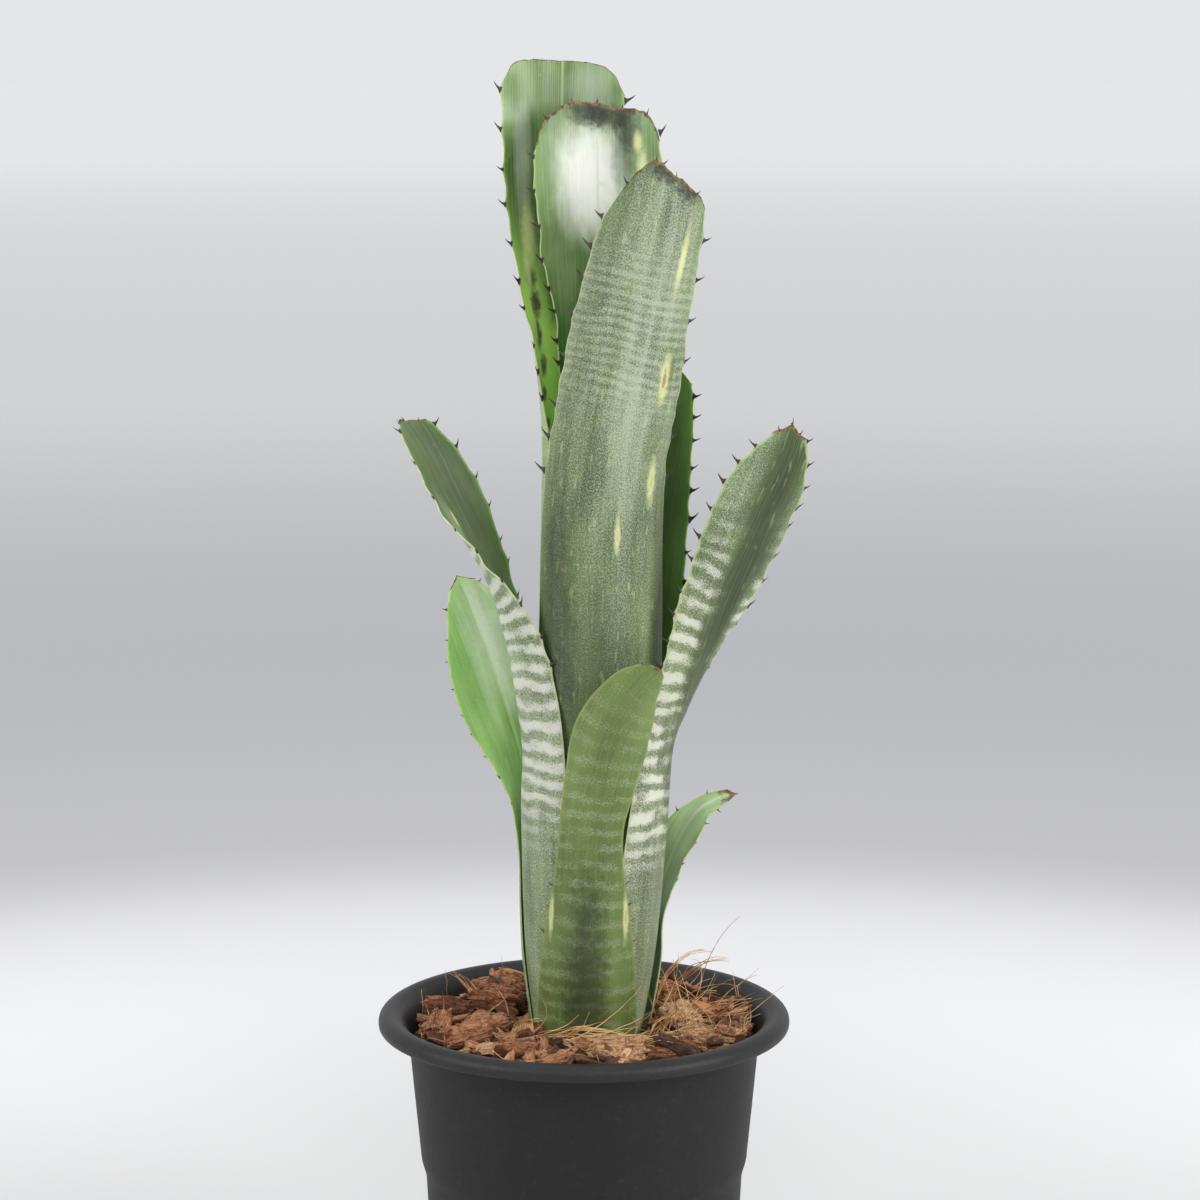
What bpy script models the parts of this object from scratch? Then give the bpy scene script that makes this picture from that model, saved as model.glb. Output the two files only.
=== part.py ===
"""Potted bromeliad: a tubular rosette of nine spiny leaves in a black rolled-rim nursery pot of coconut husk.

Sizes are in millimetres and become metres when a shape is made. +Z is up, the pot's axis is the Z axis,
and the pot stands on z = 0. A leaf faces the compass angle of its outer side: 0 is the front (-Y), 90 is +X.
"""

import math
import random

import bmesh
import bpy
from mathutils import Matrix, Vector

MM = 0.001

# Pot
RIM_RADIUS = 75.0
RIM_TOP = 140.0
LIP_DROP = 5.8
POT_BASE_RADIUS = 54.5
POT_NECK_RADIUS = 63.6
POT_WALL = 1.6
SHOULDER_Z = 82.0
SHOULDER_STEP = 1.3
FLOOR_THICKNESS = 2.4
FOOT_HEIGHT = 2.5
FOOT_PAD_RADIUS = 18.0
FOOT_RING_RADIUS = 40.0
DRAIN_HOLES = 8
DRAIN_HOLE_RADIUS = 4.0
DRAIN_CIRCLE_RADIUS = 29.0
FOOT_NOTCHES = 4
FOOT_NOTCH_WIDTH = 7.0

# Potting mix, and the pocket in it that the plant stands in
FIT_GAP = 0.4
MIX_TOP = 131.5
POCKET_BOTTOM = 110.0
POCKET_BOTTOM_RADIUS = 19.8
POCKET_TOP_RADIUS = 23.4
POCKET_CENTRE_X = 2.0

# Plant
LEAF_THICKNESS = 1.0
LAYER_PITCH = 1.6
TOOTH_LENGTH = 2.4
TOOTH_LIFT = 1.1
TOOTH_FOOT = 2.6
PLAIN_ROW_STEP = 13.0
TIP_ROWS = (0.0, 0.4, 0.7, 0.9, 1.0)
TIP_LEAST_SHARE = 0.1
STEM_RADIUS = 5.2
ROOT_RADIUS = 1.6
ROOTS = 7

# Height, middle of the leaf tube in x, and radius of the innermost sheath layer
TUBE = (
    (112.0, 1.2, 9.0),
    (132.0, 1.6, 12.5),
    (157.0, 2.2, 16.2),
    (178.0, 2.9, 18.0),
    (215.0, 4.0, 19.8),
    (250.0, 4.9, 19.8),
    (285.0, 5.6, 19.5),
    (345.0, 7.2, 19.9),
)


def catmull_rom(a, b, c, d, t):
    """Point at share t between b and c of the smooth curve through four rows of numbers."""
    return [
        0.5 * (2 * q + (r - p) * t + (2 * p - 5 * q + 4 * r - s) * t * t + (3 * (q - r) + s - p) * t**3)
        for p, q, r, s in zip(a, b, c, d)
    ]


def between(rows, position):
    """Row of numbers at a fractional position in a list of rows, on the smooth curve through them."""
    last = len(rows) - 1
    i = min(max(int(position), 0), last - 1)
    before = rows[i - 1] if i > 0 else [2 * p - q for p, q in zip(rows[0], rows[1])]
    after = rows[i + 2] if i + 2 <= last else [2 * p - q for p, q in zip(rows[last], rows[last - 1])]
    return catmull_rom(before, rows[i], rows[i + 1], after, position - i)


def tube_at(height):
    """Middle in x and innermost layer radius of the leaf tube at a height."""
    for i in range(len(TUBE) - 1):
        if height <= TUBE[i + 1][0] or i == len(TUBE) - 2:
            share = (height - TUBE[i][0]) / (TUBE[i + 1][0] - TUBE[i][0])
            return between(TUBE, i + min(share, 1.0))[1:]


def sheath(layer, facing, widths):
    """Stations of a leaf's sheath, which wraps the tube: one for each (height, half width along the arc)."""
    rows = []
    for height, half_width in widths:
        middle, core = tube_at(height)
        radius = core + layer * LAYER_PITCH
        angle = math.radians(facing)
        x, y = middle + radius * math.sin(angle), -radius * math.cos(angle)
        rows.append((x, y, height, facing, half_width, radius))
    return rows


# A station is x, y, z of the midrib, the facing, the half width along the arc, and the cross curl's radius.
# Each leaf is its stations from base to tip, its tip's rounding length, the height where its teeth start,
# and the distance between teeth.
LEAVES = {
    "leaf_inner": (
        [
            (3.4, 6.5, 120, 165, 11.0, 7.4),
            (4.0, 8.6, 135, 166, 17.0, 9.0),
            (5.0, 12.0, 165, 168, 22.0, 12.4),
            (5.8, 14.0, 215, 170, 24.0, 14.5),
            (6.2, 13.8, 285, 173, 23.0, 14.0),
            (6.2, 13.4, 345, 176, 20.5, 12.6),
            (5.8, 13.2, 380, 178, 21.0, 13.8),
            (5.4, 13.0, 398, 179, 22.0, 17.0),
            (5.2, 12.8, 416, 180, 24.0, 22.0),
            (5.0, 12.4, 434, 180, 25.6, 27.0),
            (4.8, 12.2, 452, 180, 24.8, 29.0),
            (4.6, 12.4, 469, 180, 22.5, 30.0),
        ],
        13.0, 345, 11.0,
    ),
    "leaf_back_tall": (
        sheath(1, -140, [(118, 17), (132, 24), (157, 29), (178, 31), (215, 33), (250, 34)])
        + sheath(1, -140, [(285, 34.5), (320, 34.5), (343, 32)])
        + [
            (-6.5, 16.8, 362, -143, 25.5, 21.8),
            (-6.9, 17.8, 385, -150, 22.5, 24.0),
            (-7.6, 19.4, 415, -164, 22.0, 31.0),
            (-8.0, 20.8, 448, -174, 23.6, 39.0),
            (-7.7, 21.6, 470, -177, 22.8, 43.0),
            (-7.4, 22.0, 482.5, -178, 21.5, 45.0),
        ],
        10.0, 362, 11.5,
    ),
    "leaf_front_tall": (
        sheath(2, 5, [(118, 16), (132, 22), (157, 26), (178, 28), (215, 29), (250, 30), (285, 29.5)])
        + [
            (7.8, -22.8, 316, 5, 28.0, 22.9),
            (10.0, -23.1, 347, 6, 25.8, 23.4),
            (16.6, -22.8, 382, 8, 24.0, 24.4),
            (23.0, -21.4, 413, 10, 21.4, 25.5),
            (26.8, -19.6, 430, 12, 18.4, 26.5),
            (28.6, -18.4, 441, 13, 16.0, 28.0),
            (29.6, -17.6, 449, 14, 14.0, 29.0),
        ],
        11.0, 335, 13.0,
    ),
    "leaf_right_rear": (
        sheath(3, 150, [(118, 13), (132, 17), (157, 20), (178, 21), (215, 21)])
        + [
            (19.0, 21.2, 251, 150, 19.0, 25.0),
            (23.4, 20.6, 288, 151, 17.5, 27.0),
            (27.4, 19.6, 325, 152, 15.0, 30.0),
            (31.0, 18.4, 351, 153, 10.5, 34.0),
            (34.4, 17.2, 373, 154, 5.0, 38.0),
        ],
        9.0, 262, 9.5,
    ),
    "leaf_right": (
        sheath(4, 72, [(118, 14), (132, 19), (157, 22), (178, 22.5), (208, 21)])
        + [
            (30.4, -8.6, 237, 70, 17.0, 24.0),
            (34.6, -10.0, 252, 61, 14.8, 20.0),
            (40.0, -12.0, 268, 48, 13.4, 19.0),
            (47.0, -14.0, 287, 35, 14.8, 22.0),
            (55.8, -16.0, 309, 30, 16.4, 28.0),
            (63.2, -18.0, 328, 28, 16.2, 32.0),
            (69.2, -19.0, 343, 28, 11.8, 34.0),
            (73.4, -19.5, 357, 28, 3.4, 36.0),
        ],
        7.0, 255, 11.0,
    ),
    "leaf_left": (
        sheath(4, -73, [(118, 14), (132, 18), (157, 21), (178, 22.5), (215, 23), (236, 22)])
        + [
            (-22.2, -7.2, 256, -70, 19.0, 22.0),
            (-24.4, -5.4, 274, -76, 16.0, 18.0),
            (-26.8, -3.8, 284, -84, 14.0, 17.0),
            (-30.0, -2.0, 293, -95, 12.6, 18.0),
            (-36.4, 0.6, 305, -108, 12.6, 20.0),
            (-43.0, 3.4, 318, -118, 13.6, 24.0),
            (-49.8, 6.2, 331, -124, 13.4, 28.0),
            (-56.0, 9.0, 343, -126, 11.2, 30.0),
            (-61.0, 11.4, 351, -127, 8.0, 32.0),
            (-64.8, 13.4, 356, -128, 4.0, 34.0),
        ],
        7.0, 240, 11.5,
    ),
    "leaf_left_low": (
        sheath(5, -125, [(118, 13), (132, 17), (157, 19), (178, 18)])
        + [
            (-18.5, 16.6, 197, -126, 16.0, 27.8),
            (-20.4, 18.8, 215, -130, 14.4, 30.0),
            (-23.6, 21.0, 232, -145, 16.0, 40.0),
            (-29.4, 22.6, 251, -155, 18.6, 50.0),
            (-35.4, 23.4, 269, -158, 16.6, 50.0),
            (-41.2, 23.6, 284, -160, 10.6, 50.0),
            (-46.6, 23.0, 297, -160, 3.4, 50.0),
        ],
        6.0, 205, 9.5,
    ),
    "leaf_front_low": (
        sheath(5, -3, [(118, 16), (132, 21), (157, 19), (178, 15.6), (192, 13.2), (204, 12)])
        + [
            (3.0, -29.0, 216, -3, 11.8, 26.5),
            (6.0, -31.0, 232, -3, 13.2, 26.5),
            (10.2, -32.4, 248, 0, 14.0, 27.0),
            (16.5, -33.8, 262, 5, 10.6, 28.0),
            (22.0, -34.6, 268.5, 8, 6.8, 29.0),
            (26.8, -35.0, 273, 10, 3.2, 30.0),
        ],
        5.0, 180, 8.5,
    ),
    "leaf_right_low": (
        sheath(6, 120, [(118, 11), (132, 14), (157, 14)])
        + [
            (25.4, 13.6, 170, 120, 12.0, 24.0),
            (27.8, 15.2, 179, 122, 11.0, 20.0),
            (31.6, 17.2, 190, 130, 9.8, 16.0),
            (36.4, 19.4, 200.5, 140, 8.4, 14.0),
            (42.6, 21.4, 209.0, 150, 4.8, 13.0),
            (50.0, 23.2, 213.6, 155, 2.8, 12.0),
            (57.5, 24.8, 215.0, 158, 1.8, 12.0),
        ],
        3.0, 172, 8.5,
    ),
}

# Chip middle in x and y, length, width and height, and turn about Z in degrees
HUSK_CHIPS = (
    (-33, 17, 16, 12, 9, 20),
    (-50, 8, 14, 8, 6, -8),
    (-53, -9, 11, 9, 6, 40),
    (-36, -9, 15, 8, 5, -25),
    (-42, -28, 13, 9, 6, 10),
    (-25, -40, 16, 9, 7, -6),
    (-8, -51, 12, 8, 5, 24),
    (-5, -34, 16, 8, 5, -12),
    (12, -46, 14, 9, 6, -35),
    (29, -40, 15, 10, 5, 15),
    (44, -27, 15, 11, 5, 25),
    (54, -9, 12, 7, 6, 75),
    (52, 10, 13, 7, 6, -65),
    (36, -4, 16, 9, 6, 62),
    (37, 27, 14, 9, 6, 12),
    (15, 42, 14, 9, 6, -20),
    (-9, 44, 13, 8, 5, 30),
    (-34, 40, 13, 9, 6, -34),
)
CHIP_ROUGHNESS = 0.9

# Points that each loose coir strand runs through
COIR_STRANDS = (
    ((28, 18, 133), (33, 16, 143), (39, 14, 150), (47, 13, 154), (56, 12, 155)),
    ((26, 20, 133), (29, 23, 142), (33, 26, 149), (41, 29, 153), (50, 30, 153)),
    ((-14, -27, 134), (-6, -26.5, 139), (4, -27, 140), (14, -28, 138), (22, -29.5, 134)),
    ((-22, -21, 134), (-24, -25, 139), (-20, -29, 143), (-13, -30.5, 144)),
    ((27, -15, 134), (30, -18, 141), (30, -23, 144), (27, -27, 143), (23.5, -33, 138)),
    ((-41, 14, 141.5), (-45, 16, 146), (-50, 17, 150)),
)
STRAND_RADIUS = 0.5


def material(name, colour, roughness):
    made = bpy.data.materials.new(name)
    made.use_nodes = True
    shader = made.node_tree.nodes["Principled BSDF"]
    shader.inputs["Base Color"].default_value = (*colour, 1.0)
    shader.inputs["Roughness"].default_value = roughness
    shader.inputs["Metallic"].default_value = 0.0
    return made


def new_mesh_object(name, mesh, collection, finish=None):
    made = bpy.data.objects.new(name, mesh)
    collection.objects.link(made)
    if finish:
        mesh.materials.append(finish)
    return made


def turned(name, profile, steps, collection, finish=None, closed=False):
    """A solid turned about Z from (radius, height) points that run down the outer side first."""
    mesh = bpy.data.meshes.new(name)
    edges = [(i, i + 1) for i in range(len(profile) - 1)]
    if closed:
        edges.append((len(profile) - 1, 0))
    mesh.from_pydata([(r * MM, 0, z * MM) for r, z in profile], edges, [])
    made = new_mesh_object(name, mesh, collection, finish)
    screw = made.modifiers.new("turn", "SCREW")
    screw.steps = screw.render_steps = steps
    screw.use_merge_vertices = True
    screw.merge_threshold = 0.00001
    return made


def hide_as_cutter(cutter):
    cutter.hide_render = True
    cutter.display_type = "WIRE"
    return cutter


def cut(target, cutter):
    boolean = target.modifiers.new("cut_" + cutter.name, "BOOLEAN")
    boolean.operation = "DIFFERENCE"
    boolean.solver = "EXACT"
    boolean.object = cutter


def wall_radius(height):
    """Outer radius of the pot wall: an even taper with one stacking shoulder."""
    taper = (POT_NECK_RADIUS - SHOULDER_STEP - POT_BASE_RADIUS) / 130.0
    return POT_BASE_RADIUS + taper * height + (SHOULDER_STEP if height > SHOULDER_Z else 0.0)


def make_pot(parts, cutters, plastic):
    floor_top = FOOT_HEIGHT + FLOOR_THICKNESS
    inner = POT_WALL
    profile = [
        (71.0, RIM_TOP),
        (73.6, RIM_TOP - 1.0),
        (RIM_RADIUS, RIM_TOP - 3.2),
        (RIM_RADIUS, RIM_TOP - LIP_DROP + 0.6),
        (RIM_RADIUS - 0.6, RIM_TOP - LIP_DROP),
        (RIM_RADIUS - 1.5, RIM_TOP - LIP_DROP + 0.4),
        (73.2, RIM_TOP - 3.4),
        (72.3, RIM_TOP - 2.1),
        (70.8, RIM_TOP - 1.7),
        (68.4, RIM_TOP - 3.2),
        (65.9, RIM_TOP - 6.6),
        (64.2, RIM_TOP - 11.0),
        (POT_NECK_RADIUS, RIM_TOP - 15.0),
        (wall_radius(SHOULDER_Z + 3.5), SHOULDER_Z + 3.5),
        (wall_radius(SHOULDER_Z - 3.5), SHOULDER_Z - 3.5),
        (wall_radius(2.5), 2.5),
        (wall_radius(0) - 1.4, 0.0),
        (FOOT_RING_RADIUS, 0.0),
        (FOOT_RING_RADIUS - 1.2, FOOT_HEIGHT),
        (FOOT_PAD_RADIUS + 1.2, FOOT_HEIGHT),
        (FOOT_PAD_RADIUS, 0.0),
        (0.0, 0.0),
        (0.0, floor_top),
        (wall_radius(floor_top) - inner - 2.5, floor_top),
        (wall_radius(floor_top) - inner, floor_top + 2.5),
        (wall_radius(SHOULDER_Z - 3.5) - inner, SHOULDER_Z - 3.5),
        (wall_radius(SHOULDER_Z + 3.5) - inner, SHOULDER_Z + 3.5),
        (POT_NECK_RADIUS - inner, RIM_TOP - 15.0),
        (62.7, RIM_TOP - 10.5),
        (64.6, RIM_TOP - 5.8),
        (67.6, RIM_TOP - 1.8),
    ]
    pot = turned("pot", profile, 44, parts, plastic, closed=True)
    for i in range(DRAIN_HOLES):
        angle = 2 * math.pi * (i + 0.5) / DRAIN_HOLES
        bpy.ops.mesh.primitive_cylinder_add(
            vertices=12,
            radius=DRAIN_HOLE_RADIUS * MM,
            depth=12 * MM,
            location=(
                DRAIN_CIRCLE_RADIUS * MM * math.cos(angle),
                DRAIN_CIRCLE_RADIUS * MM * math.sin(angle),
                floor_top / 2 * MM,
            ),
        )
        move_to(bpy.context.object, cutters, f"drain_cutter_{i + 1}")
        cut(pot, hide_as_cutter(bpy.context.object))
    for i in range(FOOT_NOTCHES):
        angle = 2 * math.pi * i / FOOT_NOTCHES + math.pi / 4
        reach = (FOOT_RING_RADIUS + POT_BASE_RADIUS) / 2
        bpy.ops.mesh.primitive_cube_add(size=1)
        notch = bpy.context.object
        size = (22 * MM, FOOT_NOTCH_WIDTH * MM, 2 * (FOOT_HEIGHT - 0.3) * MM, 1)
        notch.data.transform(Matrix.Diagonal(size))
        notch.rotation_euler.z = angle
        notch.location = (reach * MM * math.cos(angle), reach * MM * math.sin(angle), 0)
        move_to(notch, cutters, f"notch_cutter_{i + 1}")
        cut(pot, hide_as_cutter(notch))
    return pot


def move_to(made, collection, name):
    for old in list(made.users_collection):
        old.objects.unlink(made)
    collection.objects.link(made)
    made.name = name
    return made


def as_mesh(curve_object, name, collection, finish=None):
    """A closed mesh object from a curve object, whose caps are welded to its sides."""
    bpy.context.view_layer.update()
    graph = bpy.context.evaluated_depsgraph_get()
    mesh = bpy.data.meshes.new_from_object(curve_object.evaluated_get(graph))
    edit = bmesh.new()
    edit.from_mesh(mesh)
    bmesh.ops.remove_doubles(edit, verts=edit.verts, dist=0.00001)
    edit.to_mesh(mesh)
    edit.free()
    made = new_mesh_object(name, mesh, collection)
    made.matrix_world = curve_object.matrix_world
    mesh.materials.clear()
    if finish:
        mesh.materials.append(finish)
    bpy.data.objects.remove(curve_object)
    return made


def tube_curve(name, points, radius, collection, sides=2, radii=None):
    """A round strand along straight runs between points, with filled caps."""
    data = bpy.data.curves.new(name, "CURVE")
    data.dimensions = "3D"
    data.bevel_depth = radius * MM
    data.bevel_resolution = sides
    data.use_fill_caps = True
    spline = data.splines.new("POLY")
    spline.points.add(len(points) - 1)
    for i, (point, target) in enumerate(zip(points, spline.points)):
        target.co = (*(c * MM for c in point), 1)
        target.radius = radii[i] if radii else 1.0
    made = bpy.data.objects.new(name, data)
    collection.objects.link(made)
    return made


def smooth_points(points, steps):
    """Points read from the smooth curve through a strand's own points."""
    last = len(points) - 1
    return [between(points, last * i / (last * steps)) for i in range(last * steps + 1)]


def root_points(index):
    """A root leaves the stem's foot, spreads and runs down through the mix."""
    angle = 2 * math.pi * (index + 0.3) / ROOTS
    spread = 24 + 6 * (index % 3)
    depth = 66 - 9 * (index % 2)
    route = (
        (POCKET_CENTRE_X, 0, 99),
        (POCKET_CENTRE_X + 0.4 * spread * math.cos(angle), 0.4 * spread * math.sin(angle), 92),
        (POCKET_CENTRE_X + 0.9 * spread * math.cos(angle + 0.2), 0.9 * spread * math.sin(angle + 0.2), 80),
        (POCKET_CENTRE_X + spread * math.cos(angle + 0.5), spread * math.sin(angle + 0.5), depth),
    )
    return smooth_points(route, 2)


def stem_shape(name, clearance, collection, finish=None):
    """The short stem with its roots, grown by a clearance where it serves as the cutter for the mix."""
    top = 150.0 if not clearance else POCKET_BOTTOM + 5
    grown = STEM_RADIUS + clearance
    profile = [
        (0.0, top),
        (grown - 1.6, top - 1.0),
        (grown, top - 20.0 if not clearance else top - 2.0),
        (grown, 104.0 - clearance),
        (grown - 1.5, 96.0 - clearance),
        (0.0, 94.0 - clearance),
    ]
    stem = turned(name, profile, 16, collection, finish)
    stem.location.x = POCKET_CENTRE_X * MM
    for i in range(ROOTS):
        points = root_points(i)
        if clearance:
            tail = Vector(points[-1]) - Vector(points[-2])
            points[-1] = tuple(Vector(points[-1]) + tail.normalized() * clearance)
        curve = tube_curve(f"{name}_root_{i + 1}", points, ROOT_RADIUS + clearance, collection)
        root = hide_as_cutter(as_mesh(curve, f"{name}_root_{i + 1}", collection))
        join = stem.modifiers.new(f"root_{i + 1}", "BOOLEAN")
        join.operation = "UNION"
        join.solver = "EXACT"
        join.object = root
    return stem


def make_mix(parts, cutters, finish):
    floor_top = FOOT_HEIGHT + FLOOR_THICKNESS + FIT_GAP
    inset = POT_WALL + FIT_GAP
    profile = [
        (0.0, MIX_TOP),
        (62.6 - FIT_GAP, MIX_TOP),
        (POT_NECK_RADIUS - inset, RIM_TOP - 15.0),
        (wall_radius(SHOULDER_Z + 3.5) - inset, SHOULDER_Z + 3.5),
        (wall_radius(SHOULDER_Z - 3.5) - inset, SHOULDER_Z - 3.5),
        (wall_radius(floor_top) - inset, floor_top + 2.7),
        (wall_radius(floor_top) - inset - 2.7, floor_top),
        (0.0, floor_top),
    ]
    mix = turned("potting_mix", profile, 44, parts, finish)
    bpy.ops.mesh.primitive_cone_add(
        vertices=32,
        radius1=POCKET_BOTTOM_RADIUS * MM,
        radius2=POCKET_TOP_RADIUS * MM,
        depth=(MIX_TOP + 3 - POCKET_BOTTOM) * MM,
        location=(POCKET_CENTRE_X * MM, 0, (MIX_TOP + 3 + POCKET_BOTTOM) / 2 * MM),
    )
    move_to(bpy.context.object, cutters, "pocket_cutter")
    cut(mix, hide_as_cutter(bpy.context.object))
    cut(mix, hide_as_cutter(stem_shape("stem_cutter", FIT_GAP, cutters)))
    return mix


def leaf_rows(stations, tip_length, tooth_height, tooth_pitch):
    """Rows of a leaf's grid from base to tip, as (station position, share of full width, tooth above it)."""
    samples = 400
    last = len(stations) - 1
    places = [last * i / samples for i in range(samples + 1)]
    points = [Vector(between(stations, p)[:3]) for p in places]
    lengths = [0.0]
    for a, b in zip(points, points[1:]):
        lengths.append(lengths[-1] + (b - a).length)
    whole = lengths[-1]

    def place(length):
        i = next((k for k in range(1, samples + 1) if lengths[k] >= length), samples)
        share = (length - lengths[i - 1]) / (lengths[i] - lengths[i - 1])
        return places[i - 1] + share * (places[i] - places[i - 1])

    first_tooth = next(lengths[i] for i, p in enumerate(points) if p.z >= tooth_height or i == samples)
    plain = max(2, round(first_tooth / PLAIN_ROW_STEP))
    rows = [(first_tooth * i / plain, False) for i in range(plain)]
    length = first_tooth
    while length < whole - tip_length:
        rows += [(length, True), (length + TOOTH_FOOT, False)]
        length += tooth_pitch
    ends = rows[-1][0]
    rows += [(ends + (whole - ends) * share, False) for share in TIP_ROWS[1:]]
    found = []
    for length, tooth in rows:
        over = max(0.0, (length - (whole - tip_length)) / tip_length)
        found.append((place(length), max(TIP_LEAST_SHARE, math.sqrt(max(0.0, 1 - over * over))), tooth))
    return found


def leaf_point(stations, position, across, grow=0.0, lift=0.0):
    """A point of a leaf's middle surface. Across runs from -1 to 1 and grow is a distance past the margin."""
    x, y, z, facing, half_width, radius = between(stations, position)
    ahead = between(stations, min(position + 0.01, len(stations) - 1))
    behind = between(stations, max(position - 0.01, 0))
    along = (Vector(ahead[:3]) - Vector(behind[:3])).normalized()
    angle = math.radians(facing)
    outward = Vector((math.sin(angle), -math.cos(angle), 0))
    outward = (outward - outward.dot(along) * along).normalized()
    side = along.cross(outward)
    arc = across * half_width + math.copysign(grow, across)
    turn = arc / radius
    middle = Vector((x, y, z))
    return middle + radius * ((math.cos(turn) - 1) * outward + math.sin(turn) * side) + lift * along


def make_leaf(name, stations, tip_length, tooth_height, tooth_pitch, parts, finish):
    """A flat grid with a point added to its margin for each tooth, then bent to the leaf's shape."""
    rows = leaf_rows(stations, tip_length, tooth_height, tooth_pitch)
    last = len(rows) - 1
    columns = 2 * round(3.6 * max(s[4] / s[5] for s in stations))
    bpy.ops.mesh.primitive_grid_add(x_subdivisions=min(max(columns, 6), 10), y_subdivisions=last, size=2)
    leaf = move_to(bpy.context.object, parts, name)
    edit = bmesh.new()
    edit.from_mesh(leaf.data)
    toothed = []
    for edge in edit.edges:
        ends = [v.co for v in edge.verts]
        row = int((min(c.y for c in ends) + 1) / 2 * last + 0.25)
        if edge.is_boundary and abs(ends[0].y - ends[1].y) > 1e-6 and rows[row][2]:
            toothed.append(edge)
    bmesh.ops.bisect_edges(edit, edges=toothed, cuts=1)
    for vertex in edit.verts:
        across = vertex.co.x
        row = (vertex.co.y + 1) / 2 * last
        position, share, _ = rows[int(row + 0.25)]
        tip = row % 1.0
        if 0.25 < tip < 0.75:
            position = (position + rows[int(row) + 1][0]) / 2
            vertex.co = leaf_point(stations, position, across * share, TOOTH_LENGTH, TOOTH_LIFT) * MM
        else:
            vertex.co = leaf_point(stations, position, across * share) * MM
    edit.to_mesh(leaf.data)
    edit.free()
    leaf.data.shade_smooth()
    leaf.data.materials.append(finish)
    solidify = leaf.modifiers.new("thickness", "SOLIDIFY")
    solidify.thickness = LEAF_THICKNESS * MM
    solidify.offset = 0
    return leaf


def make_chip(index, chip, parts, finish):
    """A torn block of coconut husk lying on the mix."""
    x, y, length, width, height, turn = chip
    noise = random.Random(100 + index)
    bpy.ops.mesh.primitive_cube_add(size=1)
    made = move_to(bpy.context.object, parts, f"husk_chip_{index + 1:02d}")
    edit = bmesh.new()
    edit.from_mesh(made.data)
    bmesh.ops.subdivide_edges(edit, edges=edit.edges, cuts=1, use_grid_fill=True)
    for vertex in edit.verts:
        sides = sum(abs(c) > 0.49 for c in vertex.co)
        vertex.co *= {3: 0.8, 2: 0.92, 1: 1.0}[sides]
        vertex.co.x *= length
        vertex.co.y *= width
        vertex.co.z = (vertex.co.z + 0.5) * height
        vertex.co += Vector([noise.uniform(-CHIP_ROUGHNESS, CHIP_ROUGHNESS) for _ in range(3)])
        vertex.co.z = max(vertex.co.z, 0.0)
        vertex.co *= MM
    edit.to_mesh(made.data)
    edit.free()
    made.location = (x * MM, y * MM, (MIX_TOP + FIT_GAP) * MM)
    made.rotation_euler.z = math.radians(turn)
    made.data.materials.append(finish)
    return made


def main():
    for old in list(bpy.data.objects):
        bpy.data.objects.remove(old)
    parts = bpy.data.collections.new("potted_bromeliad")
    cutters = bpy.data.collections.new("cutters")
    for collection in (parts, cutters):
        bpy.context.scene.collection.children.link(collection)

    plastic = material("pot_plastic", (0.035, 0.036, 0.038), 0.55)
    husk = material("coconut_husk", (0.27, 0.12, 0.06), 0.95)
    coir = material("coir_strand", (0.55, 0.36, 0.18), 0.8)
    stem_skin = material("stem_skin", (0.36, 0.33, 0.18), 0.8)
    leaf_skin = material("leaf_skin", (0.16, 0.24, 0.12), 0.5)

    make_pot(parts, cutters, plastic)
    make_mix(parts, cutters, husk)
    stem_shape("stem_with_roots", 0.0, parts, stem_skin)
    for name, (stations, tip_length, tooth_height, tooth_pitch) in LEAVES.items():
        make_leaf(name, stations, tip_length, tooth_height, tooth_pitch, parts, leaf_skin)
    for index, chip in enumerate(HUSK_CHIPS):
        make_chip(index, chip, parts, husk)
    for index, points in enumerate(COIR_STRANDS):
        route = smooth_points(points, 3)
        strand = tube_curve(f"coir_strand_{index + 1}", route, STRAND_RADIUS, parts, sides=1)
        strand.data.materials.append(coir)


main()
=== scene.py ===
"""A tubular bromeliad in a black nursery pot of coconut husk, on a pale studio floor.

Lengths are millimetres in the tables and metres in the meshes.
"""

import math
import random

import bpy
import numpy as np
from mathutils import Matrix, Vector, noise


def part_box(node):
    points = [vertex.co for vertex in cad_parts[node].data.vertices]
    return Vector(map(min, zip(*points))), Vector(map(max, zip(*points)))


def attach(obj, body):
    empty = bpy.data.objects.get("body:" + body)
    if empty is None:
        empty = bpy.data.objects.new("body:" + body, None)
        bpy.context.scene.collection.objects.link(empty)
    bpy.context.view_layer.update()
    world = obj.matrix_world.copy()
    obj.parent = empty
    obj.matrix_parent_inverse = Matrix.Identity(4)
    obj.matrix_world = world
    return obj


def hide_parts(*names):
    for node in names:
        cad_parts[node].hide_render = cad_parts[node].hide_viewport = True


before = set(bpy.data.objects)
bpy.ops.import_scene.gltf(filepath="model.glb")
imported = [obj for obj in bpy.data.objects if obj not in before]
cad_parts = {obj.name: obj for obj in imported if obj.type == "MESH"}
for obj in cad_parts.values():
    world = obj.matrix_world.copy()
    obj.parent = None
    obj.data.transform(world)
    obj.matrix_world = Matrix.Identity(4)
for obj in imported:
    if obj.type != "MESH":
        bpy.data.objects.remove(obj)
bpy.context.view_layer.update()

# ---------------------------------------------------------------------------------------------------------------
# Nursery pot. One injection moulding in matte black polypropylene: a thin wall with an even taper and one
# stacking shoulder, a rolled lip to carry it by, and a floor with drain holes between a centre pad and a foot
# ring. The mould leaves a fine grain on the wall and a satin lip, whose lighter grey is a painted highlight.

MM = 0.001
NECK = (63.6, 125.0)
SHOULDER = ((59.84, 85.5), (58.1, 78.5))
FLOOR = 4.9
FOOT = 2.5
DRAIN_HOLES = 8
DRAIN_CIRCLE = 29
NOTCHES = 4
NOTCH_CIRCLE = 47.5


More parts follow.
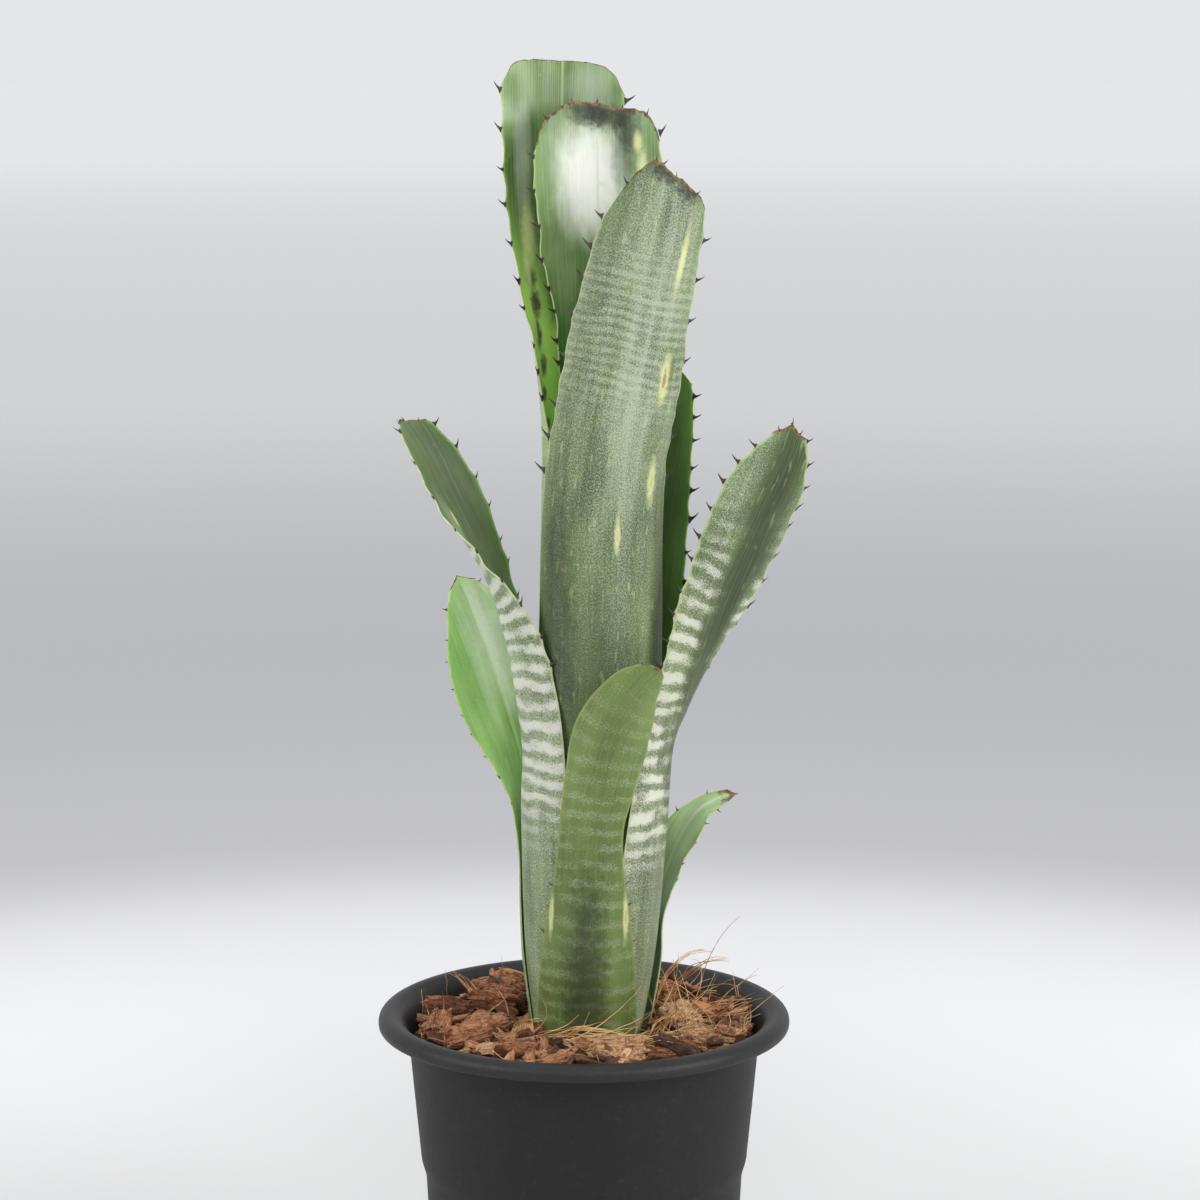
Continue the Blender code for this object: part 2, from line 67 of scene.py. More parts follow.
class Reading:
    """A number, vector or colour read inside a finish. Sums on it add Math nodes."""

    def __init__(self, finish, socket):
        self.finish = finish
        self.socket = socket

    def _sum(self, operation, first, second):
        return self.finish.node("ShaderNodeMath", {"operation": operation}, {0: first, 1: second})

    def __add__(self, other):
        return self._sum("ADD", self, other)

    def __radd__(self, other):
        return self._sum("ADD", other, self)

    def __sub__(self, other):
        return self._sum("SUBTRACT", self, other)

    def __rsub__(self, other):
        return self._sum("SUBTRACT", other, self)

    def __mul__(self, other):
        return self._sum("MULTIPLY", self, other)

    def __rmul__(self, other):
        return self._sum("MULTIPLY", other, self)

    def __truediv__(self, other):
        return self._sum("DIVIDE", self, other)

    def __pow__(self, other):
        return self._sum("POWER", self, other)

    def size(self):
        """This number without its sign."""
        return self._sum("ABSOLUTE", self, 0.0)

    def wave(self):
        """0 to 1 to 0 as this number goes from 0 to 1, and again for each whole number after."""
        return self._sum("COSINE", self * (2 * math.pi), 0.0) * -0.5 + 0.5

    def rise(self, low, high):
        """0 below low, 1 above high and a soft step between; low may be the larger."""
        flipped = low > high
        step = self.finish.node(
            "ShaderNodeMapRange",
            {"interpolation_type": "SMOOTHSTEP"},
            {0: self, 1: min(low, high), 2: max(low, high), 3: 0.0, 4: 1.0},
        )
        return 1 - step if flipped else step


class Finish:
    """A Principled material. Every node in it is added by one method."""

    def __init__(self, name, **fixed):
        self.material = bpy.data.materials.new(name)
        self.material.use_nodes = True
        self.tree = self.material.node_tree
        self.shader = self.tree.nodes["Principled BSDF"]
        for socket, value in fixed.items():
            self.shader.inputs[socket.replace("_", " ").title().replace("Ior", "IOR")].default_value = value

    def node(self, kind, settings, inputs, output=0):
        made = self.tree.nodes.new(kind)
        for key, value in settings.items():
            if key == "stops":
                ramp = made.color_ramp.elements
                while len(ramp) < len(value):
                    ramp.new(0.5)
                for stop, (place, colour) in zip(ramp, value):
                    stop.position = place
                    stop.color = (*colour, 1.0)
            else:
                setattr(made, key, value)
        for key, value in inputs.items():
            if isinstance(value, Reading):
                self.tree.links.new(value.socket, made.inputs[key])
            else:
                made.inputs[key].default_value = value
        return Reading(self, made.outputs[output])

    def feed(self, socket, reading):
        self.tree.links.new(reading.socket, self.shader.inputs[socket])

    def mix(self, share, first, second):
        """A colour between two: first where share is 0, second where it is 1."""
        colours = [c if isinstance(c, Reading) else (*c, 1.0) for c in (first, second)]
        return self.node("ShaderNodeMix", {"data_type": "RGBA"}, {0: share, 6: colours[0], 7: colours[1]}, 2)

    def noise(self, where, scale, detail=2.0, roughness=0.5):
        inputs = {"Vector": where, "Scale": scale, "Detail": detail, "Roughness": roughness}
        return self.node("ShaderNodeTexNoise", {}, inputs)

    def stretched(self, x, y, z, detail, roughness):
        """Noise whose grains are drawn out by how slowly x, y and z change."""
        return self.noise(self.vector(x, y, z), 1.0, detail, roughness)

    def place(self):
        """Object coordinates in millimetres."""
        here = self.node("ShaderNodeTexCoord", {}, {}, 3)
        return self.node("ShaderNodeVectorMath", {"operation": "SCALE"}, {0: here, 3: 1 / MM})

    def parts_of(self, vector):
        return [self.node("ShaderNodeSeparateXYZ", {}, {0: vector}, i) for i in range(3)]

    def vector(self, x, y, z=0.0):
        return self.node("ShaderNodeCombineXYZ", {}, {0: x, 1: y, 2: z})

    def mark(self, name):
        """A number that the piece's mesh carries at each point."""
        return self.node("ShaderNodeAttribute", {"attribute_name": name}, {}, 2)

    def bump(self, height, depth, strength=1.0):
        inputs = {"Strength": strength, "Distance": depth * MM, "Height": height}
        self.feed("Normal", self.node("ShaderNodeBump", {}, inputs))


def tint(red, green, blue):
    """A linear colour from the 0 to 255 numbers of a paint chart."""
    return tuple((c / 255 / 12.92) if c <= 10 else ((c / 255 + 0.055) / 1.055) ** 2.4 for c in (red, green, blue))


def take_last(name):
    """The object just added, given a name."""
    made = bpy.context.object
    made.name = name
    made.data.name = name
    return made


def only(*pieces):
    bpy.ops.object.select_all(action="DESELECT")
    for piece in pieces:
        piece.select_set(True)
    bpy.context.view_layer.objects.active = pieces[0]


def apply_modifiers(piece):
    only(piece)
    for modifier in [m.name for m in piece.modifiers]:
        bpy.ops.object.modifier_apply(modifier=modifier)


def turn_piece(name, rings, sides):
    """A turned piece: a disc extruded and scaled through (radius, height) rings, from the first to the last."""
    bpy.ops.object.select_all(action="DESELECT")
    radius, height = rings[0]
    bpy.ops.mesh.primitive_circle_add(
        vertices=sides, radius=radius * MM, location=(0, 0, height * MM), fill_type="NGON"
    )
    piece = take_last(name)
    bpy.ops.object.transform_apply(location=True)
    bpy.ops.object.mode_set(mode="EDIT")
    bpy.ops.mesh.select_all(action="SELECT")
    for (old, low), (new, high) in zip(rings, rings[1:]):
        bpy.ops.mesh.extrude_region_move(TRANSFORM_OT_translate={"value": (0, 0, (high - low) * MM)})
        share = new / old
        bpy.ops.transform.resize(value=(share, share, 1), center_override=(0, 0, 0))
    bpy.ops.mesh.select_all(action="SELECT")
    bpy.ops.mesh.normals_make_consistent(inside=False)
    bpy.ops.object.mode_set(mode="OBJECT")
    return piece


def round_profile(points, steps):
    """The smooth curve through profile points."""
    found = []
    for i in range(len(points) - 1):
        around = [points[max(i - 1, 0)], points[i], points[i + 1], points[min(i + 2, len(points) - 1)]]
        for k in range(steps):
            found.append(catmull_rom(*around, k / steps))
    return found + [list(points[-1])]


def catmull_rom(a, b, c, d, t):
    """Point at share t between b and c of the smooth curve through four rows of numbers."""
    return [
        0.5 * (2 * q + (r - p) * t + (2 * p - 5 * q + 4 * r - s) * t * t + (3 * (q - r) + s - p) * t**3)
        for p, q, r, s in zip(a, b, c, d)
    ]


lip_outside = [
    (68.0, 138.7), (69.4, 139.7), (71.2, 140.0), (73.0, 139.5), (74.4, 138.3), (75.0, 136.8),
    (75.0, 135.2), (74.5, 134.3), (73.8, 134.4), (73.5, 135.4), (73.2, 136.6), (72.2, 137.8),
    (70.8, 138.3), (69.0, 137.4), (67.0, 135.2), (65.4, 131.8), (64.3, 128.4), NECK,
]
outer_wall = [
    (63.3, 122.0), (61.6, 104.0), (60.05, 88.0), SHOULDER[0], (59.4, 83.2), (58.6, 80.6),
    SHOULDER[1], (57.9, 76.0), (56.6, 50.0), (55.2, 22.0), (54.3, 4.0), (53.9, 1.6), (53.2, 0.4), (52.4, 0.0),
]
foot = [
    (51.0, 0.0), (41.0, 0.0), (40.0, 0.0), (39.3, 0.6), (38.9, 1.9), (38.2, FOOT), (20.0, FOOT), (18.9, 1.9),
    (18.4, 0.6), (17.6, 0.0), (9.0, 0.0), (2.0, 0.0),
]
inside = [
    (2.0, FLOOR), (12.0, FLOOR), (49.5, FLOOR), (51.5, 5.5), (52.6, 7.4), (53.7, 22.0), (55.1, 50.0), (56.4, 76.0),
    (56.8, 79.0), (57.8, 83.0), (58.3, 86.0), (60.0, 104.0), (61.9, 123.0), (62.4, 127.0), (63.4, 131.5),
    (65.1, 135.4), (66.6, 137.6), (68.0, 138.7),
]
down_outside = round_profile(lip_outside, 3)[1:] + round_profile(outer_wall, 2) + foot
pot = turn_piece("nursery_pot", round_profile(inside, 2) + down_outside, 144)
bpy.ops.object.select_all(action="DESELECT")
cutters = []
for i in range(DRAIN_HOLES):
    angle = 2 * math.pi * (i + 0.5) / DRAIN_HOLES
    where = (DRAIN_CIRCLE * MM * math.cos(angle), DRAIN_CIRCLE * MM * math.sin(angle), 3.7 * MM)
    bpy.ops.mesh.primitive_cylinder_add(vertices=32, radius=4 * MM, depth=12 * MM, location=where)
    cutters.append(take_last(f"drain_punch_{i + 1}"))
for i in range(NOTCHES):
    angle = 2 * math.pi * i / NOTCHES + math.pi / 4
    where = (NOTCH_CIRCLE * MM * math.cos(angle), NOTCH_CIRCLE * MM * math.sin(angle), 0)
    bpy.ops.mesh.primitive_cube_add(size=1, location=where, rotation=(0, 0, angle), scale=(0.022, 0.007, 0.0044))
    cutters.append(take_last(f"notch_punch_{i + 1}"))
for cutter in cutters:
    hole = pot.modifiers.new(cutter.name, "BOOLEAN")
    hole.solver = "EXACT"
    hole.object = cutter
apply_modifiers(pot)
for cutter in cutters:
    bpy.data.objects.remove(cutter)
only(pot)
bpy.ops.object.shade_smooth_by_angle(angle=math.radians(42))

plastic = Finish("moulded_black_plastic", IOR=1.49, specular_ior_level=0.3)
where = plastic.place()
x, y, z = plastic.parts_of(where)
grain = plastic.noise(where, 1.6, 3.0, 0.6)
clouds = plastic.noise(where, 0.045, 3.0, 0.6)
dust = plastic.noise(where, 0.35, 4.0, 0.7).rise(0.52, 0.75)
lip = z.rise(131.0, 135.5)
scuffs = plastic.stretched(x * 0.1, y * 0.1, z * 2.2, 2.0, 0.7).rise(0.6, 0.8)
colour = plastic.mix(clouds, tint(22, 21, 21), tint(30, 29, 29))
colour = plastic.mix(dust * 0.25 * (1 - lip), colour, tint(60, 57, 54))
# Painted highlight: the lip is painted a lighter grey.
colour = plastic.mix(lip * (0.2 + clouds * 0.4), colour, tint(46, 46, 47))
plastic.feed("Base Color", colour)
plastic.feed("Roughness", 0.54 - lip * 0.14 + grain * 0.1 - scuffs * 0.06)
leather = plastic.noise(where, 0.8, 3.0, 0.6)
plastic.bump(grain * (1.0 - lip * 0.6) + leather * (0.6 + lip) + scuffs * 0.2, 0.2, 0.6)
pot.data.materials.clear()
pot.data.materials.append(plastic.material)
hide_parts("pot")
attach(pot, "root")

# ---------------------------------------------------------------------------------------------------------------
# Bed of potting mix. Chopped coconut husk, poured round the plant and pressed down to just under the lip: a
# crumbly red-brown mass, which the loose chips and fibres lie on. It is painted much darker than the chips, as
# painted shade between them, and its gaps hold painted shade too.

BED_TOP = 130.0
BED_RINGS = 46
BED_REACH = 62
HOLE_SHIFT = 2.0

rings = [(2.0, 5.3), (30.0, 5.3), (49.0, 5.3), (51.8, 8.2), (54.7, 50.0), (56.0, 77.0), (57.8, 88.0), (61.2, 122.0)]
rings += [(61.8, 126.0), (62.2, 129.5)]
rings += [(62.2 - 38.8 * i / BED_RINGS, BED_TOP) for i in range(1, BED_RINGS + 1)]
rings += [(22.6, 126.0), (20.6, 112.0), (12.0, 110.5), (2.0, 110.5)]
bed = turn_piece("husk_bed", rings, 220)
for vertex in bed.data.vertices:
    radius = vertex.co.xy.length / MM
    if vertex.co.z > 0.1295 and radius > 23:
        here = vertex.co / MM
        lumps = noise.fractal(here * 0.16, 0.9, 2.0, 4)
        crumbs = noise.cell(here * 0.9) * 0.5 + noise.noise(here * 1.7)
        vertex.co.z += (lumps * 2.0 + crumbs * 0.8 - 0.2) * MM
    if radius < BED_REACH and vertex.co.z > 0.1:
        vertex.co.x += HOLE_SHIFT * MM * min(1.0, (BED_REACH - radius) / 38)


def husk_finish(name, dark, middle, bright):
    """Torn husk: streaks along its grain, pale fibres that are partly their own colour and partly painted highlight,
    and painted shade dark in the gaps.
    """
    husk = Finish(name)
    grain = husk.node("ShaderNodeAttribute", {"attribute_name": "grain"}, {}, 1)
    tone = husk.mark("tone")
    x, y, z = husk.parts_of(grain)
    streaks = husk.stretched(x * 0.14, y * 1.5, z * 1.5, 4.0, 0.65)
    fine = husk.stretched(x * 0.5, y * 5.0, z * 5.0, 2.0, 0.6)
    pith = husk.noise(grain, 0.5, 5.0, 0.7)
    # The pale mask is partly the fibres' own paler colour and partly painted highlight.
    pale = (streaks * 0.6 + fine * 0.4 + tone * 0.3).rise(0.5, 0.8)
    # Painted shade: noisy gaps between the fibres are painted near black.
    gap_shade = pith.rise(0.5, 0.34)
    colour = husk.mix(streaks.rise(0.3, 0.68), dark, middle)
    colour = husk.mix(pale, colour, bright)
    colour = husk.mix(tone.rise(0.3, 0.0) * 0.75, colour, dark)
    colour = husk.mix(gap_shade * 0.75, colour, tuple(c * 0.5 for c in dark))
    husk.feed("Base Color", colour)
    husk.feed("Roughness", 0.98 - pale * 0.16)
    husk.bump(streaks * 0.5 + fine * 0.35 + pith * 0.6, 0.7, 0.9)
    return husk.material


def mark_grain(piece, tone):
    """Stores the piece's own coordinates in millimetres and one tone, before it is put in place."""
    count = len(piece.data.vertices)
    places = np.empty(count * 3, np.float32)
    piece.data.vertices.foreach_get("co", places)
    piece.data.attributes.new("grain", "FLOAT_VECTOR", "POINT").data.foreach_set("vector", places / MM)
    piece.data.attributes.new("tone", "FLOAT", "POINT").data.foreach_set("value", np.full(count, tone, np.float32))


# Painted shade: the bed's low tone paints it much darker than the chips, for the shade between them.
mark_grain(bed, 0.1)
bed.data.materials.append(husk_finish("husk_crumb", tint(26, 16, 12), tint(62, 38, 27), tint(112, 74, 50)))
only(bed)
bpy.ops.object.shade_smooth_by_angle(angle=math.radians(50))
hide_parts("potting_mix")
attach(bed, "root")

# ---------------------------------------------------------------------------------------------------------------
# Stem and roots. A short woody stem, hidden inside the leaf bases, whose roots run down through the mix. The
# modelled one is kept, and takes a dry, ringed bark.

bark = Finish("stem_bark")
where = bark.place()
x, y, z = bark.parts_of(where)
scars = (z / 3.4 + bark.noise(where, 0.2) * 0.8).wave()
rough = bark.noise(where, 0.9, 4.0, 0.6)
bark.feed("Base Color", bark.mix(scars * 0.6 + rough * 0.4, tint(74, 60, 38), tint(140, 128, 92)))
bark.feed("Roughness", 0.75 + rough * 0.2)
bark.bump(scars * 0.6 + rough * 0.6, 0.5, 0.8)
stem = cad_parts["stem_with_roots"]
stem.data.materials.clear()
stem.data.materials.append(bark.material)

# ---------------------------------------------------------------------------------------------------------------
# Husk chips. Blocks torn from the coconut's fibrous husk, 8 to 17 mm long, dry and red-brown, with ragged fibrous
# ends. The larger ones stand in their modelled places, and smaller scraps fill the bed between them.

CHIPS = 18
SCRAPS = 450
CHIP_RED = husk_finish("husk_chip_red", tint(60, 30, 19), tint(138, 80, 50), tint(192, 136, 94))
CHIP_TAN = husk_finish("husk_chip_tan", tint(78, 47, 29), tint(158, 106, 68), tint(212, 168, 124))
CHIP_DARK = husk_finish("husk_chip_dark", tint(30, 18, 14), tint(80, 48, 35), tint(130, 88, 64))


def tear_chip(name, length, width, height, seed, cuts, rag):
    """A block torn along its grain: subdivided, swollen and pinched by noise, and split at its ends."""
    bpy.ops.object.select_all(action="DESELECT")
    bpy.ops.mesh.primitive_cube_add(size=1)
    chip = take_last(name)
    bpy.ops.object.mode_set(mode="EDIT")
    bpy.ops.mesh.subdivide(number_cuts=cuts)
    bpy.ops.object.mode_set(mode="OBJECT")
    shift = Vector((seed * 7.3, seed * 3.1, seed * 5.7))
    for vertex in chip.data.vertices:
        unit = vertex.co * 2
        soft = unit.normalized() * 1.22
        unit = unit.lerp(soft, 0.34)
        place = Vector((unit.x * length, unit.y * width, unit.z * height)) / 2
        end = abs(unit.x) ** 3
        along = Vector((place.x * 0.12, place.y * 0.55, place.z * 0.55)) + shift
        broad = Vector((place.x * 0.1, place.y * 0.18, place.z * 0.18)) + shift
        fine = noise.noise_vector(place * 0.8 + shift)
        push = noise.noise(broad) * 0.5 * height + noise.noise(along * 1.6) * rag
        place.y *= 1 + 0.5 * noise.noise(Vector((place.x * 0.16, shift.y, 0.5)))
        place.z *= 1 + 0.7 * noise.noise(Vector((place.x * 0.14, place.y * 0.1, shift.z)))
        place += unit.normalized() * push + fine * rag * 0.45
        place.x += math.copysign(noise.noise(along * 2.6) * rag * 3.4 * end, place.x)
        vertex.co = place * MM
    return chip


def set_down(chip, x, y, z, tilt, turn):
    """Puts a chip in place with its lowest point at a height, drawn in where it would reach the pot's wall."""
    turned = Matrix.Rotation(turn, 4, "Z") @ Matrix.Rotation(tilt[0], 4, "X")
    chip.data.transform(turned @ Matrix.Rotation(tilt[1], 4, "Y"))
    low = min(v.co.z for v in chip.data.vertices)
    chip.data.transform(Matrix.Translation((x * MM, y * MM, z * MM - low)))
    out = max(v.co.xy.length for v in chip.data.vertices) - BED_REACH * MM
    if out > 0:
        chip.data.transform(Matrix.Translation(Vector((x, y, 0)).normalized() * -out))


dice = random.Random(7)
for i in range(1, CHIPS + 1):
    low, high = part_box(f"husk_chip_{i:02d}")
    middle = (low + high) / 2 / MM
    spread = (high - low) / MM
    long_side = max(spread.x, spread.y) * 1.0
    short_side = min(spread.x, spread.y) * 0.8
    chip = tear_chip(f"chip_{i:02d}", long_side, short_side, spread.z, i, 13, 1.15)
    mark_grain(chip, dice.uniform(0.05, 0.8))
    chip.data.materials.append(dice.choice((CHIP_RED, CHIP_TAN, CHIP_RED)))
    turn = 0.0 if spread.x > spread.y else math.pi / 2
    turn += dice.uniform(-0.3, 0.3)
    set_down(chip, middle.x, middle.y, low.z / MM - 1.0, (dice.uniform(-0.3, 0.3), dice.uniform(-0.2, 0.2)), turn)
    only(chip)
    bpy.ops.object.shade_smooth_by_angle(angle=math.radians(38))
    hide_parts(f"husk_chip_{i:02d}")
    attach(chip, "root")

patterns = []
for i in range(10):
    patterns.append(tear_chip(f"scrap_pattern_{i}", 8.0, 4.2 - 0.2 * i, 2.6 - 0.1 * i, 40 + i, 2, 0.9))
piles = {"red": [], "tan": [], "dark": []}
finishes = {"red": CHIP_RED, "tan": CHIP_TAN, "dark": CHIP_DARK}
for i in range(SCRAPS):
    radius = math.sqrt(dice.uniform(24.5**2, 60.5**2))
    angle = dice.uniform(0, 2 * math.pi)
    scrap = patterns[i % 10].copy()
    scrap.data = patterns[i % 10].data.copy()
    bpy.context.scene.collection.objects.link(scrap)
    size = dice.uniform(0.5, 1.5)
    length, width, height = (size * dice.uniform(*span) for span in ((0.8, 1.8), (0.5, 1.0), (0.7, 1.2)))
    scrap.data.transform(Matrix.Diagonal((length, width, height, 1)))
    mark_grain(scrap, dice.random() ** 1.8)
    tilt = (dice.uniform(-0.7, 0.7), dice.uniform(-0.45, 0.45))
    height = 130.7 + dice.uniform(-1.0, 2.4) + (1.6 if radius > 55 and angle > math.pi else 0.0)
    set_down(scrap, radius * math.cos(angle) + 1.0, radius * math.sin(angle), height, tilt, dice.uniform(0, math.pi))
    piles[dice.choice(("red", "red", "tan", "dark"))].append(scrap)
for pattern in patterns:
    bpy.data.objects.remove(pattern)
for kind, scraps in piles.items():
    only(*scraps)
    bpy.ops.object.join()
    pile = take_last(f"husk_scraps_{kind}")
    pile.data.materials.clear()
    pile.data.materials.append(finishes[kind])
    bpy.ops.object.shade_smooth_by_angle(angle=math.radians(45))
    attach(pile, "root")

# ---------------------------------------------------------------------------------------------------------------
# Leaves. Nine strap leaves grow from the stem in one spiral, each wrapped round the next one in, so that their
# lower halves roll up into a water tank. The outside carries grey scurf in cross bands, the inside is smooth and
# glossy, fine veins run from foot to tip, and hooked horny spines stand along both margins.

LAYER_PITCH = 1.6
LEAF_STEP = 0.5
LEAF_THICKNESS = 1.05
LEAF_COLUMNS = 44
TUBE = (
    (112.0, 1.2, 9.0),
    (132.0, 1.6, 12.5),
    (157.0, 2.2, 16.2),
    (178.0, 2.9, 18.0),
    (215.0, 4.0, 19.8),
    (250.0, 4.9, 19.8),
    (285.0, 5.6, 19.5),
    (345.0, 7.2, 19.9),
)


def between(rows, position):
    """Row of numbers at a fractional position in a list of rows, on the smooth curve through them."""
    last = len(rows) - 1
    i = min(max(int(position), 0), last - 1)
    before = rows[i - 1] if i > 0 else [2 * p - q for p, q in zip(rows[0], rows[1])]
    after = rows[i + 2] if i + 2 <= last else [2 * p - q for p, q in zip(rows[last], rows[last - 1])]
    return catmull_rom(before, rows[i], rows[i + 1], after, position - i)


def sheath(layer, facing, widths):
    """Stations of a leaf's foot, which wraps the tube: one for each (height, half width along the arc)."""
    rows = []
    for height, half_width in widths:
        i = next((k for k in range(len(TUBE) - 1) if height <= TUBE[k + 1][0]), len(TUBE) - 2)
        share = min((height - TUBE[i][0]) / (TUBE[i + 1][0] - TUBE[i][0]), 1.0)
        middle, core = between(TUBE, i + share)[1:]
        radius = core + layer * LAYER_PITCH
        angle = math.radians(facing)
        x, y = middle + radius * math.sin(angle), -radius * math.cos(angle)
        rows.append((x, y, height, facing, half_width, radius))
    return rows


def run_along(stations):
    """Every half millimetre of a leaf: midrib point, outward, side and tipward ways, half width and curl radius."""
    last = len(stations) - 1
    places = np.linspace(0, last, 601)
    points = np.array([between(stations, p)[:3] for p in places])
    lengths = np.concatenate([[0], np.cumsum(np.linalg.norm(np.diff(points, axis=0), axis=1))])
    rows = []
    for position in np.interp(np.arange(0, lengths[-1], LEAF_STEP), lengths, places):
        x, y, z, facing, half_width, radius = between(stations, position)
        ahead = between(stations, min(position + 0.01, last))
        behind = between(stations, max(position - 0.01, 0))
        along = (Vector(ahead[:3]) - Vector(behind[:3])).normalized()
        angle = math.radians(facing)
        outward = Vector((math.sin(angle), -math.cos(angle), 0))
        outward = (outward - outward.dot(along) * along).normalized()
        rows.append((x, y, z, *outward, *along.cross(outward), *along, half_width, radius))
    return np.array(rows)


def rough(*places):
    """Soft random heights, -1 to 1, at places given as three lists."""
    return np.array([noise.noise(Vector(p)) for p in np.broadcast(*places)])


def eased(value, low, high):
    share = np.clip((value - low) / (high - low), 0, 1)
    return share * share * (3 - 2 * share)


# How far each step of a spine rises and leans, and how much narrower it gets
SPINE_STEPS = ((0.12, 0.02, 0.62), (0.14, 0.03, 0.6), (0.22, 0.08, 0.68), (0.26, 0.14, 0.62), (0.2, 0.14, 0.3))


def spine_pattern():
    """One spine, 1 long: a six-sided horn drawn out from a broad flat foot, narrowed and hooked to +Y."""
    bpy.ops.object.select_all(action="DESELECT")
    bpy.ops.mesh.primitive_circle_add(vertices=6, radius=0.34, fill_type="NGON")
    spine = take_last("spine_pattern")
    bpy.ops.object.mode_set(mode="EDIT")
    bpy.ops.mesh.select_all(action="SELECT")
    for rise, lean, share in SPINE_STEPS:
        bpy.ops.mesh.extrude_region_move(TRANSFORM_OT_translate={"value": (0, lean, rise)})
        bpy.ops.transform.resize(value=(share, share, 1))
    bpy.ops.mesh.select_all(action="SELECT")
    bpy.ops.mesh.normals_make_consistent(inside=False)
    bpy.ops.object.mode_set(mode="OBJECT")
    bpy.ops.object.shade_smooth_by_angle(angle=math.radians(60))
    return spine


SPINE = spine_pattern()
horn = Finish("spine_horn", coat_weight=0.1)
speck = horn.noise(horn.place(), 1.4, 2.0, 0.6)
horn.feed("Base Color", horn.mix(speck.rise(0.3, 0.75), tint(26, 20, 20), tint(62, 42, 38)))
horn.feed("Roughness", 0.42 + speck * 0.2)


def grow_leaf(name, stations, tip, free_from, spines, outside, inside, folds=(), seed=1, ripple=1.0, droop=0.0,
              hooks=0):
    """A leaf: a fine grid rolled and bent to its stations, given thickness, with its spines joined on.

    tip is the end's outline, as how far short of the full length it stops at places across from -1 to 1, and how
    ragged it is. spines are the height where they start, the distance between them, their length and where they
    stop. folds are (distance from the midrib, depth, width), and hooks counts the small spines round the end.
    """
    table = run_along(stations)
    whole = (len(table) - 1) * LEAF_STEP
    outline, ragged = tip
    chance = random.Random(seed)
    first, pitch, size, *stop = spines
    start = LEAF_STEP * int(np.argmax(table[:, 2] >= first))
    stop = LEAF_STEP * int(np.argmax(table[:, 2] >= stop[0])) if stop else whole
    teeth = []
    for hand in (-1, 1):
        short = np.interp(0.93 * hand, *zip(*outline))
        length = start + chance.uniform(0, 0.6) * pitch
        while length < min(stop, whole - short):
            teeth.append((hand, length, size * chance.uniform(0.8, 1.2)))
            length += pitch * chance.uniform(0.75, 1.28)
    for i in range(hooks):
        hand = 1.6 * i / (hooks - 1) - 0.8
        short = np.interp(hand, *zip(*outline)) + 0.5 * ragged
        teeth.append((hand, whole - short - 0.3, size * chance.uniform(0.5, 0.75)))

    def spread(across, length):
        """Points, normals, tipward ways, half widths and arc lengths at places across (-1 to 1) and along."""
        row = np.clip(length / LEAF_STEP, 0, len(table) - 1.001)
        low = row.astype(int)
        part = (row - low)[:, None]
        found = table[low] * (1 - part) + table[low + 1] * part
        midrib, outward, side, along = (found[:, i : i + 3] for i in (0, 3, 6, 9))
        half_width, radius = found[:, 12], found[:, 13]
        free = eased(midrib[:, 2], free_from - 10, free_from + 35)
        scallop = np.zeros(len(row))
        for hand, at, big in teeth:
            beside = np.exp(-(((length - at) / 2.0) ** 2)) + 0.5 * np.exp(-(((length - at) / 4.5) ** 2))
            scallop += np.where(hand * across > 0, beside * big * 0.17, 0)
        wave = 0.4 * rough(length * 0.09, seed * 9.1, across * 0.5) * free
        arc = across * (half_width + scallop * np.abs(across) ** 9 + wave)
        swell = rough(arc * 0.045, length * 0.018, seed * 3.7) * 1.5 * free
        swell += rough(arc * 0.2, length * 0.05, seed * 1.3) * (0.05 + 0.25 * free) * ripple
        swell += np.abs(across) ** 5 * rough(length * 0.13, seed * 5.9, across) * 1.2 * free * ripple
        for at, depth, width in folds:
            swell += depth * (np.exp(-np.abs(arc - at) / width) - 0.3) * (0.1 + 0.9 * free)
        swell -= droop * eased(length, whole - 16, whole) ** 1.5
        turn = (arc / radius)[:, None]
        normal = np.cos(turn) * outward + np.sin(turn) * side
        middle = midrib + radius[:, None] * ((np.cos(turn) - 1) * outward + np.sin(turn) * side)
        return middle + swell[:, None] * normal, normal, along, half_width, arc

    rows = max(60, round(whole / 1.8))
    bpy.ops.object.select_all(action="DESELECT")
    bpy.ops.mesh.primitive_grid_add(x_subdivisions=LEAF_COLUMNS, y_subdivisions=rows, size=2)
    leaf = take_last(name)
    flat = np.empty(len(leaf.data.vertices) * 3)
    leaf.data.vertices.foreach_get("co", flat)
    across, share = flat[0::3], (flat[1::3] + 1) / 2
    short = np.interp(across, *zip(*outline))
    rag = 0.5 + 0.5 * (rough(across * 3.1, seed * 2.3, 0.4) + 0.7 * rough(across * 11, seed, 4.1))
    length = share * whole - (short + ragged * rag) * share**8
    spots, _, _, half_width, arc = spread(across, length)
    leaf.data.vertices.foreach_set("co", (spots * MM).ravel())
    margin, to_tip = half_width * (1 - np.abs(across)), (1 - share) * whole
    for key, values in (("arc", arc), ("along", length), ("margin", margin), ("to_tip", to_tip)):
        leaf.data.attributes.new(key, "FLOAT", "POINT").data.foreach_set("value", values.astype(np.float32))
    fleshy = leaf.vertex_groups.new(name="fleshy")
    for index, weight in enumerate(np.minimum(1, 0.15 + margin / 7) * np.minimum(1, 0.3 + to_tip / 14)):
        fleshy.add([index], weight, "REPLACE")
    for finish in (outside, inside, horn.material):
        leaf.data.materials.append(finish)
    solidify = leaf.modifiers.new("thickness", "SOLIDIFY")
    solidify.thickness = LEAF_THICKNESS * MM
    solidify.offset = 0
    solidify.vertex_group = "fleshy"
    solidify.thickness_vertex_group = 0.3
    solidify.material_offset = 1
    apply_modifiers(leaf)
    leaf.vertex_groups.clear()
    only(leaf)
    bpy.ops.object.shade_smooth_by_angle(angle=math.radians(65))

